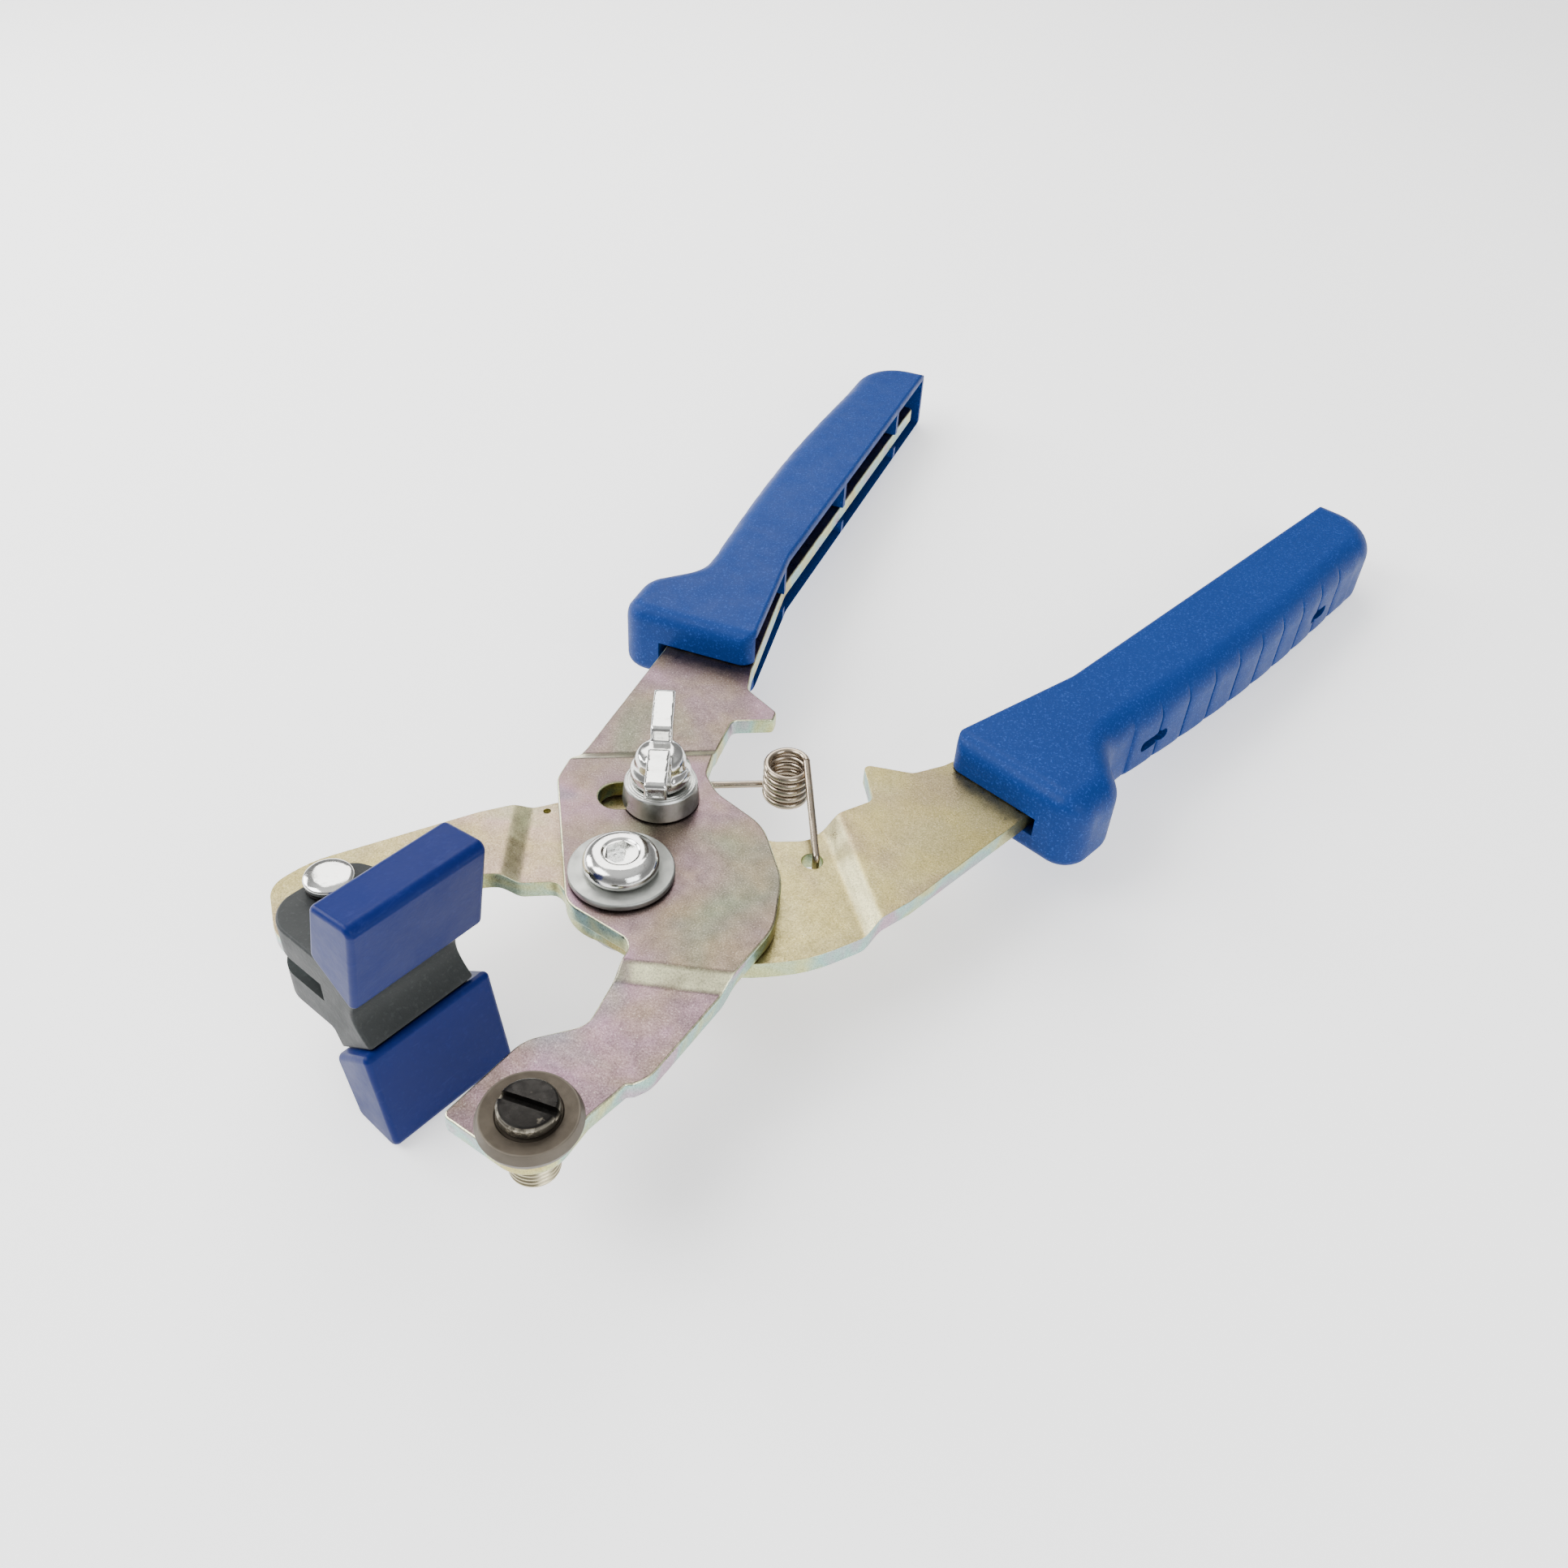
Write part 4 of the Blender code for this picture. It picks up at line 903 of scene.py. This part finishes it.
def build_head_bolt():
    top = MID + CHEEK_TOP + GAP
    low = MID - CHEEK_TOP - GAP - 0.9
    lathe_piece("fine_head_upper_washer", [(2.8, top), (3.9, top), (3.9, top + 0.7), (2.8, top + 0.7)],
                "breaker_lever", "head_upper_washer", "blackened_steel", BOLT, 0.1)
    lathe_piece("fine_head_lower_washer", [(2.8, low), (4.6, low), (4.6, low + 0.9), (2.8, low + 0.9)],
                "breaker_lever", "head_lower_washer", "bright_zinc", BOLT, 0.1)
    seat = top + 0.7 + GAP
    under = low - GAP
    profile = [(0, under - 4.6), (2.1, under - 4.6)] + threaded(2.5, under - 4.4, under - 0.2, 0.8, 0.32)
    profile += [(2.5, under), (2.5, seat), (3.8, seat), (4.0, seat + 0.25), (4.0, seat + 0.9),
                (3.85, seat + 1.2), (3.4, seat + 1.45), (2.4, seat + 1.6), (0, seat + 1.7)]
    lathe_piece("fine_head_bolt", profile, "breaker_lever", "head_bolt", "polished_steel", BOLT, 0.1, False)
    nut_piece("fine_head_nut", 8.0, 2.8, under - 4.0, under, "breaker_lever", "head_nut", BOLT)


# ---------------------------------------------------------------- torsion spring
def tangent_angle(hole, sign):
    offset = Vector(hole) - Vector(COIL)
    return math.atan2(offset.y, offset.x) + sign * math.acos(COIL_RADIUS / offset.length)


def wire(name, route):
    """A round wire along the route, closed at both ends, as a mesh."""
    curve = bpy.data.curves.new(name, "CURVE")
    curve.dimensions = "3D"
    curve.bevel_depth = WIRE / 2 * MM
    curve.bevel_resolution = 6
    curve.use_fill_caps = True
    spline = curve.splines.new("POLY")
    spline.points.add(len(route) - 1)
    for point, place in zip(spline.points, route):
        point.co = (*((PIVOT + Vector(place)) * MM), 1.0)
    drawn = bpy.data.objects.new(name + "_route", curve)
    bpy.context.scene.collection.objects.link(drawn)
    bpy.context.view_layer.update()
    mesh = bpy.data.meshes.new_from_object(drawn.evaluated_get(bpy.context.evaluated_depsgraph_get()))
    bpy.data.objects.remove(drawn)
    mesh.name = name
    obj = bpy.data.objects.new(name, mesh)
    bpy.context.scene.collection.objects.link(obj)
    mesh.materials.clear()
    mesh.materials.append(LOOKS["spring_steel"])
    mesh.shade_smooth()
    mesh.set_sharp_from_angle(angle=math.radians(50))
    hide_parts("torsion_spring")
    return obj


def smooth_bend(points, radius=0.9, pieces=6):
    """Rounds each inner corner of a wire route."""
    out = [points[0]]
    for before, here, after in zip(points, points[1:], points[2:]):
        start = here + (before - here).normalized() * min(radius, (before - here).length * 0.45)
        end = here + (after - here).normalized() * min(radius, (after - here).length * 0.45)
        for k in range(pieces + 1):
            share = k / pieces
            out.append(start.lerp(here, share).lerp(here.lerp(end, share), share))
    return out + [points[-1]]


def build_spring():
    """Leg, coil and leg: round wires from the hole in the wheel lever, round the coil, to the hook of the
    breaker lever.
    """
    first = tangent_angle(LEG_HOLE, -1)
    last = tangent_angle(HOOK, 1)
    sweep = (first - last) % (2 * math.pi) + 2 * math.pi * COIL_TURNS
    coil_top = COIL_BOTTOM + COIL_PITCH * sweep / (2 * math.pi)
    steps = 40 * (COIL_TURNS + 1)
    coil = []
    for k in range(steps + 1):
        angle = first - sweep * k / steps
        height = COIL_BOTTOM + (coil_top - COIL_BOTTOM) * k / steps
        across = COIL[0] + COIL_RADIUS * math.cos(angle)
        along = COIL[1] + COIL_RADIUS * math.sin(angle)
        coil.append(Vector((across, along, height)))
    low_bend = Vector((LEG_HOLE[0] + 0.05, LEG_HOLE[1] + 0.05, COIL_BOTTOM))
    low_leg = [Vector((*LEG_HOLE, 0.1)), low_bend, coil[0]]
    hook_top = LOWER_TOP + 1.0
    bend = Vector((HOOK[0], HOOK[1], hook_top))
    high_leg = [coil[-1], bend, Vector((*HOOK, LOWER_TOP - SHEET + 0.4))]
    ends = (Vector((*LEG_HOLE, 0.0)), Vector((*HOOK, 0.0)))
    legs = (("spring_wheel_leg", smooth_bend(low_leg), ends[0], coil[0]),
            ("spring_breaker_leg", smooth_bend(high_leg), ends[1], coil[-1]))
    levers = (("wheel_lever", "breaker_lever"), ("breaker_lever", "wheel_lever"))
    for (name, route, hole, meeting), bodies in zip(legs, levers):
        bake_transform(wire(name, route))
    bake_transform(wire("spring_coil", coil))


# ---------------------------------------------------------------- floor, light and camera
def build_stage():
    """The floor passes under the lower pad and the grip ends, which is how the tool lies."""
    pad_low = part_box("lower_pad")[0]
    grip_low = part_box("wheel_lever_grip")[0]
    far_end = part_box("wheel_lever_grip")[1]
    slope = math.atan2(grip_low.z - pad_low.z, far_end.y - pad_low.y - 0.012)
    bm = bmesh.new()
    bmesh.ops.create_grid(bm, x_segments=1, y_segments=1, size=4.0)
    mesh = bpy.data.meshes.new("floor")
    bm.to_mesh(mesh)
    bm.free()
    floor = bpy.data.objects.new("floor", mesh)
    bpy.context.scene.collection.objects.link(floor)
    floor.rotation_euler = (slope, 0.0, 0.0)
    floor.location = (0.0, pad_low.y, pad_low.z - 0.0006)
    mat, tree, shader = shader_material("floor", 0.85, 0.0, Specular_IOR_Level=0.1, Emission_Strength=0.80)
    shader.inputs["Emission Color"].default_value = (1.0, 1.0, 1.0, 1.0)
    shade_of_paper = ramp(tree, grain(tree, 3.0, 2.0), [(0.3, 0.90), (0.7, 0.93)])
    link(tree, shade_of_paper, shader, "Base Color")
    mesh.materials.append(mat)


def softbox(name, place, target, size, power, tint=(1.0, 1.0, 1.0)):
    light = bpy.data.lights.new(name, "AREA")
    light.shape = "RECTANGLE"
    light.size = size[0]
    light.size_y = size[1]
    light.energy = power
    light.color = tint
    lamp = bpy.data.objects.new(name, light)
    bpy.context.scene.collection.objects.link(lamp)
    lamp.location = place
    lamp.rotation_euler = (Vector(target) - Vector(place)).to_track_quat("-Z", "Y").to_euler()


def build_world():
    """A studio sky: light at the horizon, a darker band above it and white overhead."""
    world = bpy.data.worlds.new("studio")
    bpy.context.scene.world = world
    world.use_nodes = True
    tree = world.node_tree
    back = tree.nodes["Background"]
    way = put(tree, "ShaderNodeSeparateXYZ", {0: put(tree, "ShaderNodeTexCoord").outputs["Generated"]})
    rise = calc(tree, "MULTIPLY_ADD", way.outputs[2], 0.5, 0.5)
    sky = ramp(tree, rise, [(0.50, 0.75), (0.56, 0.36), (0.72, 0.28), (0.85, 0.44), (0.94, 0.88), (1.0, 1.0)])
    tree.links.new(sky, back.inputs["Color"])
    back.inputs["Strength"].default_value = 1.1


def build_camera():
    data = bpy.data.cameras.new("camera")
    data.lens = 31.40
    data.sensor_width = 36.0
    data.clip_start = 0.01
    camera = bpy.data.objects.new("camera", data)
    bpy.context.scene.collection.objects.link(camera)
    ahead = Vector((-0.378, 0.652, -0.657)).normalized()
    right = ahead.cross(Vector((0, 0, 1))).normalized()
    up = right.cross(ahead)
    roll = math.radians(3.97)
    rolled_right = right * math.cos(roll) + up * math.sin(roll)
    rolled_up = up * math.cos(roll) - right * math.sin(roll)
    turn = Matrix((rolled_right, rolled_up, -ahead)).transposed().to_4x4()
    camera.matrix_world = Matrix.Translation((PIVOT + Vector((103.7, -126.8, 163.3))) * MM) @ turn
    bpy.context.scene.camera = camera


build_levers()
grip("fine_wheel_lever_grip", -1, "wheel_lever", "wheel_lever_grip")
grip("fine_breaker_lever_grip", 1, "breaker_lever", "breaker_lever_grip")
build_pivot()
build_lock()
build_wheel()
build_head()
build_spring()
build_stage()
build_world()
softbox("key", (-0.35, 0.30, 0.55), (0.0, 0.0, 0.02), (0.5, 0.5), 4.5, (1.0, 0.985, 0.96))
softbox("fill", (0.55, -0.25, 0.35), (0.0, 0.0, 0.02), (0.4, 0.4), 3.0, (0.96, 0.98, 1.0))
softbox("front", (-0.38, -0.46, 0.60), (0.0, -0.05, 0.02), (0.45, 0.45), 6.0)
softbox("side", (-0.80, -0.19, 0.38), (0.0, -0.05, 0.02), (0.4, 0.4), 6.0)
build_camera()
